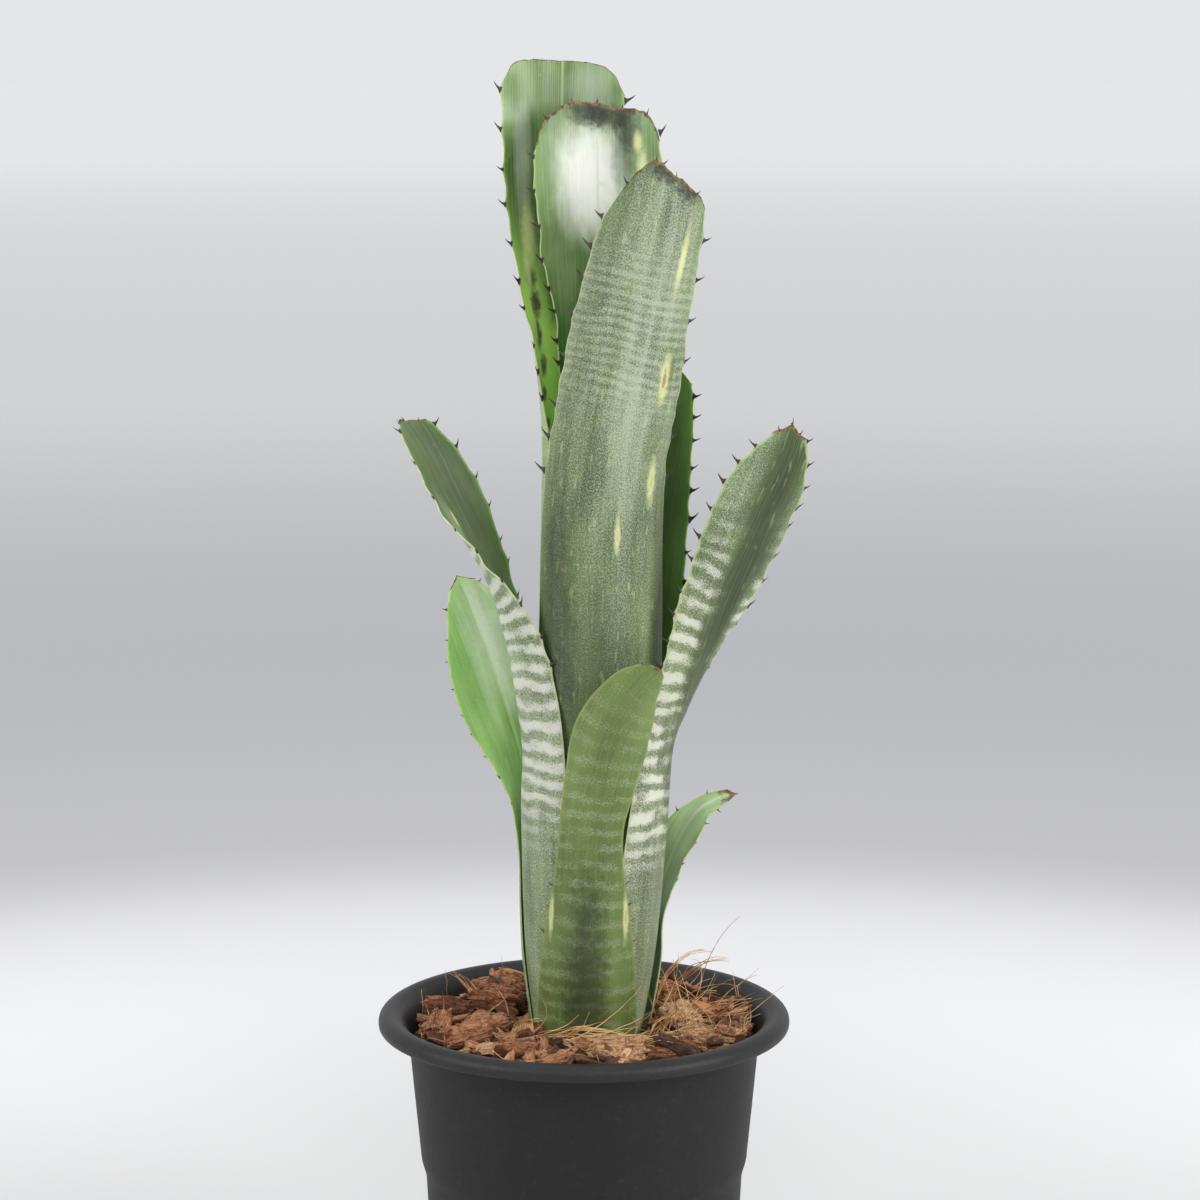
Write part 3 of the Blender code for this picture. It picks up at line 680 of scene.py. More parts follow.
    horns = []
    for hand, at, big in teeth:
        feet, normals, ways, _, _ = spread(np.array([hand * 0.998, hand * 0.9, 0.0]), np.array([at, at, at]))
        foot, normal, along = Vector(feet[0]), Vector(normals[0]), Vector(ways[0])
        away = along.cross(normal)
        away = -away if away.dot(Vector(feet[1]) - foot) > 0 else away
        lean = 0.9 * (1 - normal.dot(Vector(normals[2]))) + chance.uniform(-0.15, 0.2)
        climb = chance.uniform(0.0, 0.4) + 2.5 * (1 - abs(hand))
        rise = (away + climb * along + lean * normal).normalized()
        hook = (along - along.dot(rise) * rise).normalized()
        turn = Matrix((hook.cross(rise) * 0.4, hook * chance.uniform(0.9, 1.15), rise)).transposed().to_4x4()
        turn = Matrix.Translation((foot - away * 0.3) * MM) @ turn @ Matrix.Scale(big * MM, 4)
        spine = SPINE.copy()
        spine.data = SPINE.data.copy()
        bpy.context.scene.collection.objects.link(spine)
        spine.data.transform(turn)
        spine.data.materials.append(horn.material)
        horns.append(spine)
    only(leaf, *horns)
    bpy.ops.object.join()
    return leaf


LIT_THROUGH = {"subsurface_weight": 0.45, "subsurface_radius": (1.0, 1.9, 0.4), "subsurface_scale": 0.0012}


def leaf_readings(finish, seed):
    """What both faces of a leaf are painted from: across, along, from the margin, from the tip, and a place."""
    arc, along = finish.mark("arc"), finish.mark("along")
    return arc, along, finish.mark("margin"), finish.mark("to_tip"), finish.vector(arc, along, seed * 13.0)


def add_scars(finish, colour, readings, tip_brown, blotches, stains_and_shade, edge_tint):
    """Pale lens-shaped scars with a brown heart, dark patches (dead tissue on some leaves, painted shade on others),
    a dry tip and a thin pale margin.
    """
    arc, along, margin, to_tip, here = readings
    wander = finish.noise(here, 0.45, 3.0, 0.65)
    # Dark patches: dead tissue on some leaves, painted shade on others.
    for at, up, wide, tall, dead in stains_and_shade:
        reach = ((arc - at) / wide) ** 2 + ((along - up) / tall) ** 2 + (wander - 0.5) * 2.4
        colour = finish.mix(reach.rise(1.7, 0.0) * dead, colour, tint(34, 38, 28))
    for at, up, wide, tall, heart in blotches:
        reach = (((arc - at) / wide) ** 2 + ((along - up) / tall) ** 2) ** 0.5 + (wander - 0.5) * 0.9
        colour = finish.mix(reach.rise(1.35, 0.3) * 0.85, colour, tint(214, 217, 158))
        colour = finish.mix((reach * 2.6).rise(1.1, 0.5) * heart, colour, tint(150, 118, 92))
    rim = (margin + (wander - 0.5) * 0.8).rise(1.0, 0.3)
    colour = finish.mix(rim * 0.7, colour, edge_tint)
    dry = (to_tip + (wander - 0.5) * tip_brown * 1.7).rise(tip_brown * 0.9, tip_brown * 0.25)
    brown = finish.mix(wander.rise(0.35, 0.7), tint(72, 52, 40), tint(158, 122, 92))
    return finish.mix(dry, colour, brown), dry


def outside_finish(name, seed, dark, green, silver, bands, pitch, scurf, fade, tip_brown=1.2, blotches=(), stains_and_shade=(),
                   edge_tint=tint(178, 184, 142), shade=(), frost_and_painted_light=(), flecks=0.35):
    """The scurfy outside: grey scales in cross bands on green, fine veins, and scars.

    bands is how thickly the bands carry scales, and fade the lengths where they start, are full, thin out and are
    gone. scurf is how thickly the ground carries them, low down and high up, and from which length to which it
    changes. shade is (distance from the midrib, width, amount) of a darker stripe with less scurf, painted shade on
    the tall front leaf, and frost_and_painted_light of a paler, more scurfy one, real scurf on the right leaf and a
    painted light stripe on the tall front leaf.
    """
    finish = Finish(name, specular_ior_level=0.4, **LIT_THROUGH)
    readings = leaf_readings(finish, seed)
    arc, along = readings[:2]
    clouds = finish.stretched(arc * 0.07, along * 0.022, seed * 7.0, 3.0, 0.6)
    veins = finish.stretched(arc * 1.6, along * 0.03, seed * 3.0, 3.0, 0.65)
    drift = finish.stretched(arc * 0.05, along * 0.03, seed * 5.0, 2.0, 0.6)
    fray = finish.stretched(arc * 0.4, along * 0.6, seed, 4.0, 0.8)
    gaps = finish.stretched(arc * 0.1, along * 0.14, seed * 11.0, 2.0, 0.5).rise(0.24, 0.6)
    streaks = finish.stretched(arc * 0.3, along * 0.014, seed * 29.0, 2.0, 0.6).rise(0.25, 0.75)
    grain = finish.stretched(arc * 1.9, along * 1.5, seed * 2.0, 3.0, 0.9).rise(0.32, 0.68)
    ring = (along / pitch + drift * 1.6 + fray * 0.7).wave()
    scurf_kept = 1.0
    colour = finish.mix(clouds.rise(0.32, 0.68), dark, green)
    low, high, start, end = scurf
    climb = along.rise(start, end)
    # A darker stripe with less scurf; on the tall front leaf it is painted shade along the left edge.
    for at, width, amount in shade:
        stripe = (arc - at + (drift - 0.5) * width).size().rise(width, width * 0.15) * climb * amount
        colour = finish.mix(stripe, colour, tuple(c * 0.42 for c in dark))
        scurf_kept = 1 - stripe
    colour = finish.mix(veins.rise(0.4, 0.68) * 0.22, colour, tuple(min(1.0, c * 1.5) for c in green))
    marks = finish.stretched(arc * 0.55, along * 0.13, seed * 19.0, 2.0, 0.5).rise(0.6, 0.72)
    colour = finish.mix(marks * flecks, colour, tint(160, 174, 110))
    ground = (climb * (high - low) + low) * (clouds * 0.8 + streaks * 0.4 + 0.4)
    # A paler, more scurfy stripe: real scurf on the right leaf, a painted light stripe on the tall front leaf.
    for at, width, amount in frost_and_painted_light:
        stripe = (arc - at + (drift - 0.5) * width).size().rise(width, width * 0.1) * climb
        ground = ground + stripe * (streaks * 0.5 + 0.75) * amount
    banded = along.rise(fade[0], fade[1]) * along.rise(fade[3], fade[2]) * bands
    grey = (grain * 0.9 + (ring.rise(0.05, 0.95) * gaps * banded + ground) * scurf_kept - 0.9).rise(-0.1, 0.85)
    colour = finish.mix(grey * 0.92, colour, silver)
    colour, dry = add_scars(finish, colour, readings, tip_brown, blotches, stains_and_shade, edge_tint)
    finish.feed("Base Color", colour)
    finish.feed("Roughness", 0.42 + grey * 0.3 + dry * 0.2 + veins * 0.06)
    finish.bump(veins * 0.5 + grey * 0.5 + fray * 0.15 + dry * grain * 0.8, 0.14, 0.7)
    return finish.material


def inside_finish(name, seed, dark, green, pale, low, low_to, tip_brown=1.2, blotches=(), stains_and_shade=(), wrinkle=0.0,
                  edge_tint=tint(150, 166, 100), gloss=0.3, painted_sheens=()):
    """The smooth inside: glossy, finely veined, and towards the foot, up to low_to, painted a yellower green as
    painted light let through the leaf.

    painted_sheens are (distance from the midrib, length, width, height, amount) of painted highlights on it.
    """
    finish = Finish(name, specular_ior_level=0.6, **LIT_THROUGH)
    readings = leaf_readings(finish, seed)
    arc, along = readings[:2]
    clouds = finish.stretched(arc * 0.08, along * 0.03, seed * 7.0, 3.0, 0.6)
    veins = finish.stretched(arc * 2.6, along * 0.02, seed * 3.0, 3.0, 0.6)
    pucker = finish.stretched(arc * 0.35, along * 0.6, seed * 2.0, 3.0, 0.6)
    mottle = finish.stretched(arc * 0.3, along * 0.12, seed * 23.0, 3.0, 0.6)
    colour = finish.mix(clouds.rise(0.3, 0.7), dark, green)
    # Painted light: towards the foot the colour turns to low, a yellower green for light let through the leaf.
    colour = finish.mix((along + clouds * 50).rise(low_to + 50, low_to), colour, low)
    colour = finish.mix(veins.rise(0.42, 0.68) * 0.26, colour, pale)
    # Painted highlights: pale patches painted where the glossy inside would catch the light.
    for at, up, wide, tall, amount in painted_sheens:
        reach = ((arc - at) / wide) ** 2 + ((along - up) / tall) ** 2 + (mottle - 0.5) * 0.8
        colour = finish.mix(reach.rise(1.5, -0.3) * (0.75 + veins * 0.5) * amount, colour, tint(240, 244, 234))
    colour = finish.mix(arc.size().rise(0.7, 0.2) * 0.4, colour, pale)
    colour = finish.mix(mottle.rise(0.64, 0.74) * 0.4, colour, pale)
    colour, dry = add_scars(finish, colour, readings, tip_brown, blotches, stains_and_shade, edge_tint)
    finish.feed("Base Color", colour)
    finish.feed("Roughness", gloss + veins * 0.12 + dry * 0.4)
    finish.bump(veins * 0.5 + pucker * wrinkle + mottle * 0.2, 0.2, 0.6)
    return finish.material


POINTED = ((-1, 4.0), (-0.5, 1.6), (0, 0.0), (0.5, 1.6), (1, 4.0))

# Inner leaf: the youngest, at the back of the tube's mouth, showing its glossy inside with a torn, dead top edge,
# a painted highlight across its upper middle and a painted green glow low down for light let through it.
leaf = grow_leaf(
    "inner_leaf",
    [
        (3.4, 6.5, 120, 165, 11.0, 7.4),
        (4.0, 8.6, 135, 166, 17.0, 9.0),
        (5.0, 12.0, 165, 168, 22.0, 12.4),
        (5.8, 14.0, 215, 170, 24.0, 14.5),
        (6.2, 13.8, 285, 173, 23.0, 14.0),
        (6.2, 13.4, 345, 176, 20.5, 12.6),
        (5.8, 13.2, 380, 178, 21.0, 13.8),
        (5.4, 13.0, 398, 179, 22.0, 17.0),
        (5.2, 12.8, 416, 180, 24.0, 22.0),
        (5.0, 12.4, 434, 180, 25.6, 27.0),
        (4.8, 12.2, 452, 180, 24.8, 29.0),
        (4.6, 12.4, 469, 180, 22.5, 30.0),
    ],
    tip=((
        (-1, 14), (-0.9, 7), (-0.75, 3.4), (-0.5, 2.6), (-0.3, 2.4), (0, 0), (0.35, 0), (0.55, 1.4), (0.75, 4.5),
        (0.9, 9), (1, 16),
    ), 1.4),
    free_from=345, spines=(372, 10.0, 3.7), folds=((-4, 0.3, 3.0),), seed=3, hooks=5,
    outside=outside_finish(
        "inner_leaf_outside", 3, tint(70, 92, 50), tint(96, 122, 70), tint(170, 180, 160), 0.5, 6.5, (0.4, 0.4, 0, 1),
        (-2, -1, 150, 260),
    ),
    inside=inside_finish(
        "inner_leaf_inside", 3, tint(88, 116, 58), tint(126, 152, 92), tint(200, 212, 178), tint(66, 128, 20), 278,
        tip_brown=2.2,
        stains_and_shade=((-5, 344, 8, 6, 0.8), (3, 345, 8, 5, 0.85), (-12, 339, 5, 8, 0.65), (-9, 328, 4, 10, 0.35)),
        blotches=((-1, 300, 2.2, 5, 0.0), (-17, 324, 2.4, 8, 0.0), (-6, 288, 1.2, 4, 0.0), (-15, 334, 2.0, 4, 0.0)),
        painted_sheens=((3, 321, 14, 23, 1.0), (2, 320, 9, 17, 0.8)),
    ),
)
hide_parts("leaf_inner")
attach(leaf, "root")

# Tall back leaf: the longest, wrapped round the tube's back left, its deep green inside creased and painted lime
# low down as painted light let through it, with painted highlights higher up and a row of black patches beside
# the young leaf's spiny margin.
leaf = grow_leaf(
    "tall_back_leaf",
    sheath(1, -140, [(118, 17), (132, 24), (157, 29), (178, 31), (215, 33), (250, 34)])
    + sheath(1, -140, [(285, 34.5), (320, 34.5), (343, 32)])
    + [
        (-6.5, 16.8, 362, -143, 25.5, 21.8),
        (-6.9, 17.8, 385, -150, 22.5, 24.0),
        (-7.6, 19.4, 415, -164, 22.0, 31.0),
        (-8.0, 20.8, 448, -174, 23.6, 39.0),
        (-7.7, 21.6, 470, -177, 22.8, 43.0),
        (-7.4, 22.0, 483.0, -178, 21.5, 45.0),
    ],
    tip=(((-1, 12), (-0.92, 6), (-0.75, 2.4), (-0.4, 0.5), (0.5, 0), (0.8, 0.8), (0.93, 3), (1, 9)), 0.8),
    free_from=365, spines=(362, 11.0, 3.7), folds=((-1, 1.6, 5),), seed=5,
    outside=outside_finish(
        "tall_back_leaf_outside", 5, tint(120, 142, 88), tint(152, 174, 118), tint(200, 208, 184), 0.3, 7.0,
        (0.5, 0.5, 0, 1), (-2, -1, 200, 300),
    ),
    inside=inside_finish(
        "tall_back_leaf_inside", 5, tint(82, 110, 54), tint(112, 138, 78), tint(184, 196, 160),
        tint(204, 238, 122), 292, tip_brown=0.5,
        blotches=((14, 304, 3.4, 13, 0.0), (16, 290, 2.0, 8, 0.0), (17, 270, 1.6, 6, 0.0)),
        stains_and_shade=(
            (15, 288, 3.0, 4, 0.9), (14, 279, 3.2, 5, 0.95), (15, 268, 2.8, 5, 0.95), (13, 257, 2.6, 4, 0.9),
            (14, 247, 2.2, 3, 0.9), (12, 236, 2.0, 3, 0.85), (4, 284, 3.0, 12, 0.5),
        ),
        painted_sheens=((15, 330, 4, 20, 0.4), (-10, 355, 9, 12, 0.3)),
    ),
)
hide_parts("leaf_back_tall")
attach(leaf, "root")

# Tall front leaf: the broad one that closes the tube at the front and leans to the right at its top. Its whole
# outside is frosted with fine scurf, and its torn tip has dried black. A paler stripe right of its midrib is
# painted light, and its darker left edge and lower left are painted shade.
leaf = grow_leaf(
    "tall_front_leaf",
    sheath(2, 5, [(118, 16), (132, 22), (157, 26), (178, 28), (215, 29), (250, 30), (285, 29.5)])
    + [
        (7.8, -22.8, 316, 5, 28.0, 22.9),
        (10.0, -23.1, 347, 6, 25.8, 23.4),
        (16.6, -22.8, 382, 8, 24.0, 24.4),
        (23.0, -21.4, 413, 10, 21.4, 25.5),
        (26.8, -19.6, 430, 12, 18.4, 26.5),
        (28.6, -18.4, 441, 13, 16.0, 28.0),
        (29.6, -17.6, 449, 14, 14.4, 29.0),
    ],
    tip=((
        (-1, 26), (-0.92, 16), (-0.8, 9), (-0.65, 4), (-0.45, 0.8), (-0.3, 0), (-0.1, 1.2), (0.2, 4), (0.6, 7),
        (0.85, 9), (1, 13),
    ), 2.6),
    free_from=330, spines=(335, 13.5, 4.3), seed=8, droop=1.6, hooks=4,
    outside=outside_finish(
        "tall_front_leaf_outside", 8, tint(62, 82, 42), tint(96, 118, 64), tint(180, 186, 166), 0.3, 3.5,
        (0.36, 0.66, 110, 250), (236, 256, 286, 312),
        tip_brown=2.4, stains_and_shade=(
            # The first two are the dried black tip; the last two are painted shade, low on the left and low in the
            # middle.
            (2, 330, 9, 5, 0.9), (10, 326, 6, 6, 0.9), (-19, 168, 8, 46, 0.5), (-4, 150, 14, 30, 0.25),
        ),
        blotches=(
            (12, 300, 1.4, 12, 0.0), (14.5, 258, 2.4, 10, 0.8), (16.5, 220, 2.0, 10, 0.3), (4, 200, 1.2, 7, 0.3),
        ),
        # Painted shade along the left edge, and a painted light stripe right of the midrib.
        shade=((-18, 8.0, 0.2),), frost_and_painted_light=((5, 13.0, 0.22),), flecks=0.6,
    ),
    inside=inside_finish(
        "tall_front_leaf_inside", 8, tint(72, 98, 50), tint(104, 130, 76), tint(180, 194, 150),
        tint(84, 128, 40), 200,
    ),
)
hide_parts("leaf_front_tall")
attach(leaf, "root")

# Right rear leaf: a deep green leaf that shows past the tube's right edge, with close black spines.
leaf = grow_leaf(
    "right_rear_leaf",
    sheath(3, 150, [(118, 13), (132, 17), (157, 20), (178, 21), (215, 21)])
    + [
        (19.0, 21.2, 251, 150, 19.0, 25.0),
        (23.4, 20.6, 288, 151, 17.5, 27.0),
        (27.4, 19.6, 325, 152, 15.0, 30.0),
        (31.0, 18.4, 351, 153, 10.5, 34.0),
        (34.4, 17.2, 373, 154, 5.0, 38.0),
    ],
    tip=(POINTED, 0.4), free_from=262, spines=(240, 9.6, 4.3), seed=11,
    outside=outside_finish(
        "right_rear_leaf_outside", 11, tint(74, 94, 54), tint(98, 120, 72), tint(178, 186, 160), 0.7, 6.0,
        (0.4, 0.4, 0, 1), (-2, -1, 150, 230),
    ),
    inside=inside_finish(
        "right_rear_leaf_inside", 11, tint(82, 108, 58), tint(108, 138, 74), tint(150, 178, 112),
        tint(110, 176, 50), 150, gloss=0.4,
    ),
)
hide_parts("leaf_right_rear")
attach(leaf, "root")

# Right leaf: strongly silver-banded from foot to neck, with a dull olive blade that leans out and a dry toothed tip.
leaf = grow_leaf(
    "right_leaf",
    sheath(4, 72, [(118, 14), (132, 19), (157, 22), (178, 22.5), (208, 21)])
    + [
        (30.4, -8.6, 237, 70, 17.0, 24.0),
        (34.6, -10.0, 252, 61, 14.8, 20.0),
        (40.0, -12.0, 268, 48, 13.4, 19.0),
        (47.0, -14.0, 287, 35, 14.8, 22.0),
        (55.8, -16.0, 309, 30, 16.4, 28.0),
        (63.2, -18.0, 328, 28, 16.2, 32.0),
        (69.2, -19.0, 343, 28, 11.8, 34.0),
        (73.4, -19.5, 357, 28, 3.0, 36.0),
    ],
    tip=(POINTED, 0.8), free_from=255, spines=(236, 10.0, 3.7), folds=((3, -0.8, 6),), seed=14, hooks=3,
    outside=outside_finish(
        "right_leaf_outside", 14, tint(76, 92, 54), tint(108, 124, 78), tint(208, 210, 194), 1.0, 6.4,
        (0.56, 0.44, 50, 170), (66, 104, 150, 236), tip_brown=2.6, shade=((3.5, 12.0, 0.95),),
        frost_and_painted_light=((-10, 7.0, 0.12),),
    ),
    inside=inside_finish(
        "right_leaf_inside", 14, tint(72, 96, 48), tint(98, 126, 66), tint(160, 178, 126), tint(110, 140, 64), 60,
    ),
)
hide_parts("leaf_right")
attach(leaf, "root")

# Left leaf: banded like the right one, but its neck turns, so that the small blade shows its matt inside.
leaf = grow_leaf(
    "left_leaf",
    sheath(4, -73, [(118, 14), (132, 18), (157, 21), (178, 22.5), (215, 23), (236, 22)])
    + [
        (-22.2, -7.2, 256, -70, 19.0, 22.0),
        (-24.4, -5.4, 274, -76, 16.0, 18.0),
        (-26.8, -3.8, 284, -84, 14.0, 17.0),
        (-30.0, -2.0, 293, -95, 12.6, 18.0),
        (-36.4, 0.6, 305, -108, 12.6, 20.0),
        (-43.0, 3.4, 318, -118, 13.6, 24.0),
        (-49.8, 6.2, 331, -124, 13.4, 28.0),
        (-56.0, 9.0, 343, -126, 11.2, 30.0),
        (-61.0, 11.4, 351, -127, 8.0, 32.0),
        (-64.8, 13.4, 356, -128, 3.6, 34.0),
    ],
    tip=(((-1, 4.0), (-0.5, 1.6), (0, 0.4), (0.5, 0), (1, 1.6)), 0.6),
    free_from=250, spines=(262, 11.0, 3.1), folds=((-1, 3.2, 6),), seed=17, hooks=3,
    outside=outside_finish(
        "left_leaf_outside", 17, tint(78, 96, 52), tint(110, 130, 78), tint(202, 205, 193), 0.85, 6.4,
        (0.55, 0.62, 60, 150), (74, 120, 190, 260), tip_brown=2.0,
    ),
    inside=inside_finish(
        "left_leaf_inside", 17, tint(74, 94, 52), tint(98, 116, 74), tint(142, 154, 120), tint(88, 116, 58), 60,
        gloss=0.45, tip_brown=1.8, blotches=((4, 208, 1.2, 4, 0.0),), painted_sheens=((7, 196, 5, 26, 0.16),),
    ),
)
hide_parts("leaf_left")
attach(leaf, "root")

# Low left leaf: broad, bright and glossy inside, finely puckered, with a pale line along its midrib and painted
# highlights beside it for the gloss on its puckers.
leaf = grow_leaf(
    "low_left_leaf",
    sheath(5, -125, [(118, 13), (132, 17), (157, 19), (178, 18)])
    + [
        (-18.5, 16.6, 197, -126, 16.0, 27.8),
        (-20.4, 18.8, 215, -130, 14.4, 30.0),
        (-23.6, 21.0, 232, -145, 16.0, 40.0),
        (-29.4, 22.6, 251, -155, 18.6, 50.0),
        (-35.4, 23.4, 269, -158, 16.6, 50.0),
        (-41.2, 23.6, 284, -160, 10.6, 50.0),
        (-46.6, 23.0, 297, -160, 3.0, 50.0),
    ],
    tip=(POINTED, 0.3), free_from=205, spines=(212, 9.5, 1.9), folds=((0, 0.9, 3.0),), seed=20, ripple=1.5,
    outside=outside_finish(
        "low_left_leaf_outside", 20, tint(78, 104, 50), tint(106, 134, 70), tint(182, 190, 160), 0.8, 6.4,
        (0.3, 0.3, 0, 1), (-2, -1, 110, 170),
    ),
    inside=inside_finish(
        "low_left_leaf_inside", 20, tint(140, 184, 102), tint(172, 210, 132), tint(222, 234, 192),
        tint(112, 160, 68), 66, wrinkle=3.0, gloss=0.2, tip_brown=0.8,
        painted_sheens=((-3, 160, 7, 34, 0.75), (5, 150, 3, 30, 0.4)), edge_tint=tint(200, 220, 150),
    ),
)
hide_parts("leaf_left_low")
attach(leaf, "root")

# Low front leaf: short and olive green, wrapped over the foot of the tube, faintly banded, with a few spines low
# on its margins, yellow scars beside them and a thin dry edge at its tip.
leaf = grow_leaf(
    "low_front_leaf",
    sheath(5, -3, [(118, 16), (132, 21), (157, 19), (178, 15.6), (192, 13.2), (204, 12)])
    + [
        (3.0, -29.0, 216, -3, 11.8, 26.5),
        (6.0, -31.0, 232, -3, 13.2, 26.5),
        (10.2, -32.4, 248, 0, 14.0, 27.0),
        (16.5, -33.8, 262, 5, 10.6, 28.0),
        (22.0, -34.6, 268.5, 8, 6.8, 29.0),
        (26.8, -35.0, 273.0, 10, 2.8, 30.0),
    ],
    tip=(((-1, 3.0), (-0.5, 1.0), (0, 0.2), (0.5, 0), (1, 1.0)), 0.4),
    free_from=215, spines=(168, 8.0, 2.3, 200), seed=23,
    outside=outside_finish(
        "low_front_leaf_outside", 23, tint(86, 104, 52), tint(108, 128, 68), tint(168, 176, 142), 0.48, 6.6,
        (0.22, 0.3, 60, 150), (-2, -1, 100, 190), tip_brown=1.6,
        blotches=((-14.0, 63, 1.2, 9, 0.3), (13.8, 63, 1.2, 10, 0.5)),
        stains_and_shade=((0, 24, 8, 56, 0.7),), shade=((-1.0, 8.0, 0.3),), edge_tint=tint(136, 142, 84), flecks=0.12,
    ),
    inside=inside_finish(
        "low_front_leaf_inside", 23, tint(84, 106, 50), tint(112, 138, 70), tint(170, 184, 122),
        tint(110, 136, 62), 20,
    ),
)
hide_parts("leaf_front_low")
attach(leaf, "root")

# Low right leaf: a small narrow leaf that arches out and ends in a brown, shrivelled, toothed tip.
leaf = grow_leaf(
    "low_right_leaf",
    sheath(6, 120, [(118, 11), (132, 14), (157, 14)])
    + [
        (25.4, 13.6, 170, 120, 12.0, 24.0),
        (27.8, 15.2, 179, 122, 11.0, 20.0),
        (31.6, 17.2, 190, 130, 9.8, 16.0),
        (36.4, 19.4, 200.5, 140, 8.4, 14.0),
        (42.6, 21.4, 209.3, 150, 4.6, 13.0),
        (50.0, 23.2, 213.6, 155, 2.5, 12.0),
        (57.5, 24.8, 215.0, 158, 1.4, 12.0),
    ],
    tip=(POINTED, 0.8), free_from=172, spines=(176, 8.0, 1.9), seed=26, ripple=1.6, hooks=4,
    outside=outside_finish(
        "low_right_leaf_outside", 26, tint(106, 124, 82), tint(136, 154, 108), tint(190, 198, 174), 0.3, 6.0,
        (0.45, 0.45, 0, 1), (-2, -1, 40, 90), tip_brown=7.0,
    ),
    inside=inside_finish(
        "low_right_leaf_inside", 26, tint(126, 148, 104), tint(154, 174, 130), tint(206, 216, 186),
        tint(130, 152, 100), 10, tip_brown=7.0,
    ),
)
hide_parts("leaf_right_low")
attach(leaf, "root")
bpy.data.objects.remove(SPINE)

# ---------------------------------------------------------------------------------------------------------------
# Coir fibres. Stiff straw-coloured hairs from the husk, 0.1 to 0.4 mm thick, loose on the bed and springing up
# from it, thickest in front of the stem and to its right.

straw = Finish("coir_straw")
where = straw.place()
shift = straw.noise(where, 0.12, 2.0, 0.5)
straw.feed("Base Color", straw.mix(shift.rise(0.3, 0.7), tint(168, 114, 68), tint(228, 192, 138)))
straw.feed("Roughness", 0.62 + shift * 0.2)


def lay_fibres(name, routes, radius):
    """Many thin fibres as one curve with a round bevel, made a mesh with its caps welded."""
    data = bpy.data.curves.new(name, "CURVE")
    data.dimensions = "3D"
    data.bevel_depth = radius * MM
    data.bevel_resolution = 0
    data.use_fill_caps = True
    for route in routes:
        spline = data.splines.new("POLY")
        spline.points.add(len(route) - 1)
        for i, (spot, target) in enumerate(zip(route, spline.points)):
            target.co = (*(c * MM for c in spot), 1)
            target.radius = 1.0 - 0.6 * (i / (len(route) - 1)) ** 2
    fibres = bpy.data.objects.new(name, data)
    bpy.context.scene.collection.objects.link(fibres)
    only(fibres)
    bpy.ops.object.convert(target="MESH")
    fibres = take_last(name)
    bpy.ops.object.mode_set(mode="EDIT")
    bpy.ops.mesh.select_all(action="SELECT")
    bpy.ops.mesh.remove_doubles(threshold=0.000001)
    bpy.ops.object.mode_set(mode="OBJECT")
    bpy.ops.object.shade_smooth()
    fibres.data.materials.clear()
    fibres.data.materials.append(straw.material)
    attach(fibres, "root")
    return fibres


def wander_route(start, heading, length, curl, drop, steps=14):
    """A fibre's way: it sets off along a heading, curls as it goes and bows down under its weight."""
    spot, way = Vector(start), Vector(heading).normalized()
    axis = Vector((dice.gauss(0, 1), dice.gauss(0, 1), dice.gauss(0, 1))).normalized()
    route = [tuple(spot)]
    for _ in range(steps):
        way = (Matrix.Rotation(curl * dice.uniform(0.4, 1.2) / steps, 3, axis) @ way).normalized()
        stray = [dice.gauss(0, 0.05) for _ in range(3)]
        way = (way + Vector((*stray[:2], stray[2] - drop / steps))).normalized()
        spot = spot + way * length / steps
        spot.z = max(spot.z, 132.2)
        if spot.z < 142:
            spot.xy *= min(1.0, 61 / spot.xy.length)
        route.append(tuple(spot))
    return route


STRANDS = (
    ((28, 18, 133), (33, 16, 143), (39, 14, 150), (47, 13, 154), (56, 12, 155)),
    ((26, 20, 133), (29, 23, 142), (33, 26, 149), (41, 29, 153), (50, 30, 153)),
    ((-14, -27, 134), (-6, -26.5, 139), (4, -27, 140), (14, -28, 138), (22, -29.5, 134)),
    ((-22, -21, 134), (-24, -25, 139), (-20, -29, 143), (-13, -30.5, 144)),
    ((27, -15, 134), (30, -18, 141), (30, -23, 144), (27, -27, 143), (23.5, -33, 138)),
    ((-41, 14, 141.5), (-45, 16, 146), (-50, 17, 150)),
)
for number, points in enumerate(STRANDS, 1):
    routes = []
    for _ in range(5):
        off = [Vector((dice.gauss(0, 1), dice.gauss(0, 1), dice.gauss(0, 0.6))) for _ in points]
        bent = [[c + d for c, d in zip(p, o)] for p, o in zip(points, off)]
        last = len(bent) - 1
        reach = dice.uniform(0.75, 1.0)
        routes.append([between(bent, last * reach * i / (last * 6)) for i in range(last * 6 + 1)])
    strand = lay_fibres(f"coir_strand_bundle_{number}", routes, 0.2)
    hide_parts(f"coir_strand_{number}")

routes = []
for _ in range(230):
    angle = dice.uniform(0, 2 * math.pi)
    radius = math.sqrt(dice.uniform(25**2, 61**2))
    start = (radius * math.cos(angle), radius * math.sin(angle), dice.uniform(132, 136))
    heading = (dice.gauss(0, 1), dice.gauss(0, 1), dice.gauss(0.15, 0.25))
    routes.append(wander_route(start, heading, dice.uniform(8, 26), dice.uniform(0.8, 3.4), 0.6))
lay_fibres("coir_hairs_bed", routes, 0.13)
routes = []
for _ in range(90):
    start = (dice.uniform(24, 50), dice.uniform(-30, 26), dice.uniform(132, 136))
    heading = (dice.gauss(0.6, 0.6), dice.gauss(0.0, 0.6), dice.uniform(0.0, 0.9))
    routes.append(wander_route(start, heading, dice.uniform(14, 40), dice.uniform(0.8, 3.2), 0.5, 22))
lay_fibres("coir_hairs_right", routes, 0.16)
routes = []
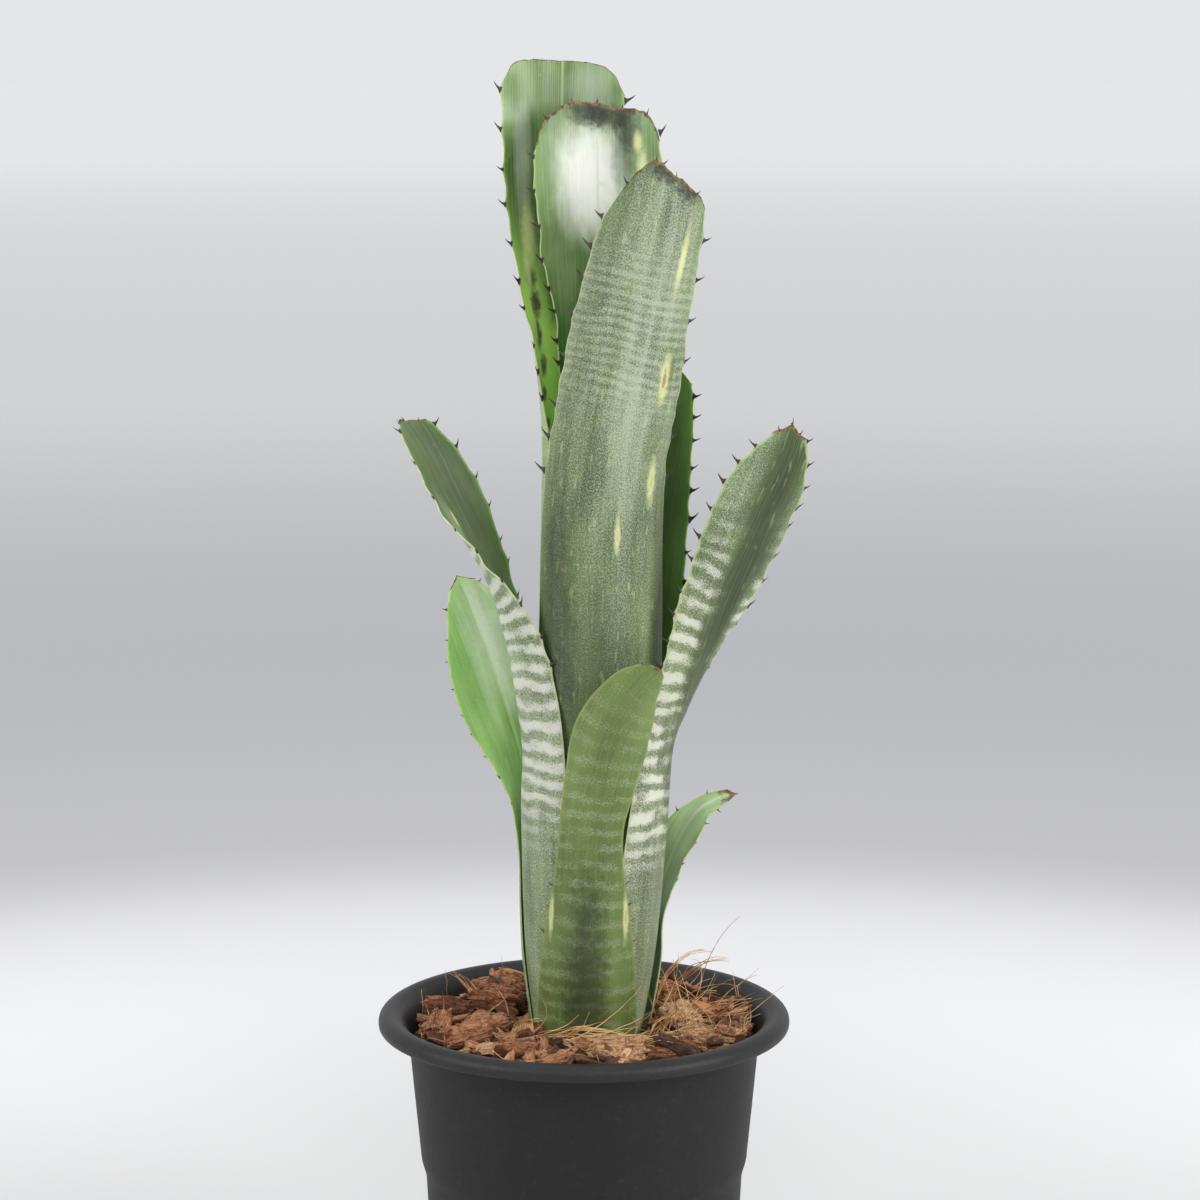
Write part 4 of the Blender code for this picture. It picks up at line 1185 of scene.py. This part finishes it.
for _ in range(90):
    start = (dice.uniform(-22, 18), dice.uniform(-34, -26.5), dice.uniform(134, 139))
    heading = (1.0, dice.gauss(-0.1, 0.28), dice.gauss(0.0, 0.12))
    routes.append(wander_route(start, heading, dice.uniform(14, 32), dice.uniform(0.3, 1.8), 0.35, 20))
lay_fibres("coir_hairs_front", routes, 0.17)

# ---------------------------------------------------------------------------------------------------------------
# Studio. A pale floor that runs on to the horizon, two large soft lights at the sides, weaker ones high in
# front and overhead, a pale room around, and the camera level with the leaf tips. The floor's paint is a little
# darker close to the pot as painted shade, and from about half a metre out it is dark paint that glows in greys
# lightening towards the horizon, as painted light.

bpy.ops.object.select_all(action="DESELECT")
bpy.ops.mesh.primitive_circle_add(vertices=128, radius=80.0, fill_type="NGON")
floor = take_last("studio_floor")
paper = Finish("studio_paper", roughness=0.95, specular_ior_level=0.1, emission_strength=1.0)
x, y, z = paper.parts_of(paper.place())
away = (x * x + y * y) ** 0.5
# Painted light: from about half a metre out the floor glows, in greys that lighten towards the horizon.
glow = paper.mix(away.rise(440, 760), (0.0, 0.0, 0.0), tint(165, 165, 168))
glow = paper.mix(away.rise(680, 1500), glow, tint(158, 159, 163))
glow = paper.mix(away.rise(1300, 4000), glow, tint(194, 195, 196))
glow = paper.mix(away.rise(3500, 18000), glow, tint(215, 216, 218))
# Painted shade: the paint is a little darker close to the pot, and dark where the painted glow takes over.
painted_near_shade = paper.mix(away.rise(200, 560), tint(212, 212, 212), tint(235, 235, 235))
paper.feed("Base Color", paper.mix(away.rise(440, 900), painted_near_shade, tint(120, 120, 122)))
paper.feed("Emission Color", glow)
floor.data.materials.append(paper.material)

for name, size, power, place, aim in (
    ("left_softbox", 1.1, 16.0, (-1.4, -0.6, 0.95), (0, 0, 0.28)),
    ("right_softbox", 1.1, 21.0, (1.35, -0.8, 0.85), (0, 0, 0.28)),
    ("front_softbox", 1.2, 15.0, (0.1, -1.7, 1.5), (0, 0, 0.3)),
    ("top_softbox", 1.0, 7.0, (0.0, 0.2, 1.9), (0, 0, 0.3)),
):
    bpy.ops.object.light_add(type="AREA", location=place)
    lamp = bpy.context.object
    lamp.name = name
    lamp.data.shape = "DISK"
    lamp.data.size = size
    lamp.data.energy = power
    lamp.rotation_euler = (Vector(aim) - Vector(place)).to_track_quat("-Z", "Y").to_euler()

room = bpy.data.worlds.new("pale_room")
room.use_nodes = True
wiring = room.node_tree
backdrop = wiring.nodes["Background"]
backdrop.inputs["Color"].default_value = (*tint(229, 230, 232), 1)
dim = wiring.nodes.new("ShaderNodeBackground")
dim.inputs["Color"].default_value = (0.96, 0.97, 1.0, 1)
way = wiring.nodes.new("ShaderNodeTexCoord")
parts = wiring.nodes.new("ShaderNodeSeparateXYZ")
depth = wiring.nodes.new("ShaderNodeMapRange")
for number, value in enumerate((-0.5, 0.7, 0.16, 0.8), 1):
    depth.inputs[number].default_value = value
wiring.links.new(way.outputs["Generated"], parts.inputs[0])
wiring.links.new(parts.outputs[1], depth.inputs[0])
wiring.links.new(depth.outputs[0], dim.inputs["Strength"])
ray = wiring.nodes.new("ShaderNodeLightPath")
blend = wiring.nodes.new("ShaderNodeMixShader")
wiring.links.new(ray.outputs["Is Camera Ray"], blend.inputs[0])
wiring.links.new(dim.outputs[0], blend.inputs[1])
wiring.links.new(backdrop.outputs[0], blend.inputs[2])
wiring.links.new(blend.outputs[0], wiring.nodes["World Output"].inputs["Surface"])
bpy.context.scene.world = room

bpy.ops.object.camera_add(location=(0.00585, -1.2, 0.4811), rotation=(math.radians(81.0), 0, 0))
camera = bpy.context.object
camera.data.lens = 101.6
camera.data.sensor_width = 36
bpy.context.scene.camera = camera
bpy.context.scene.view_settings.view_transform = "Standard"
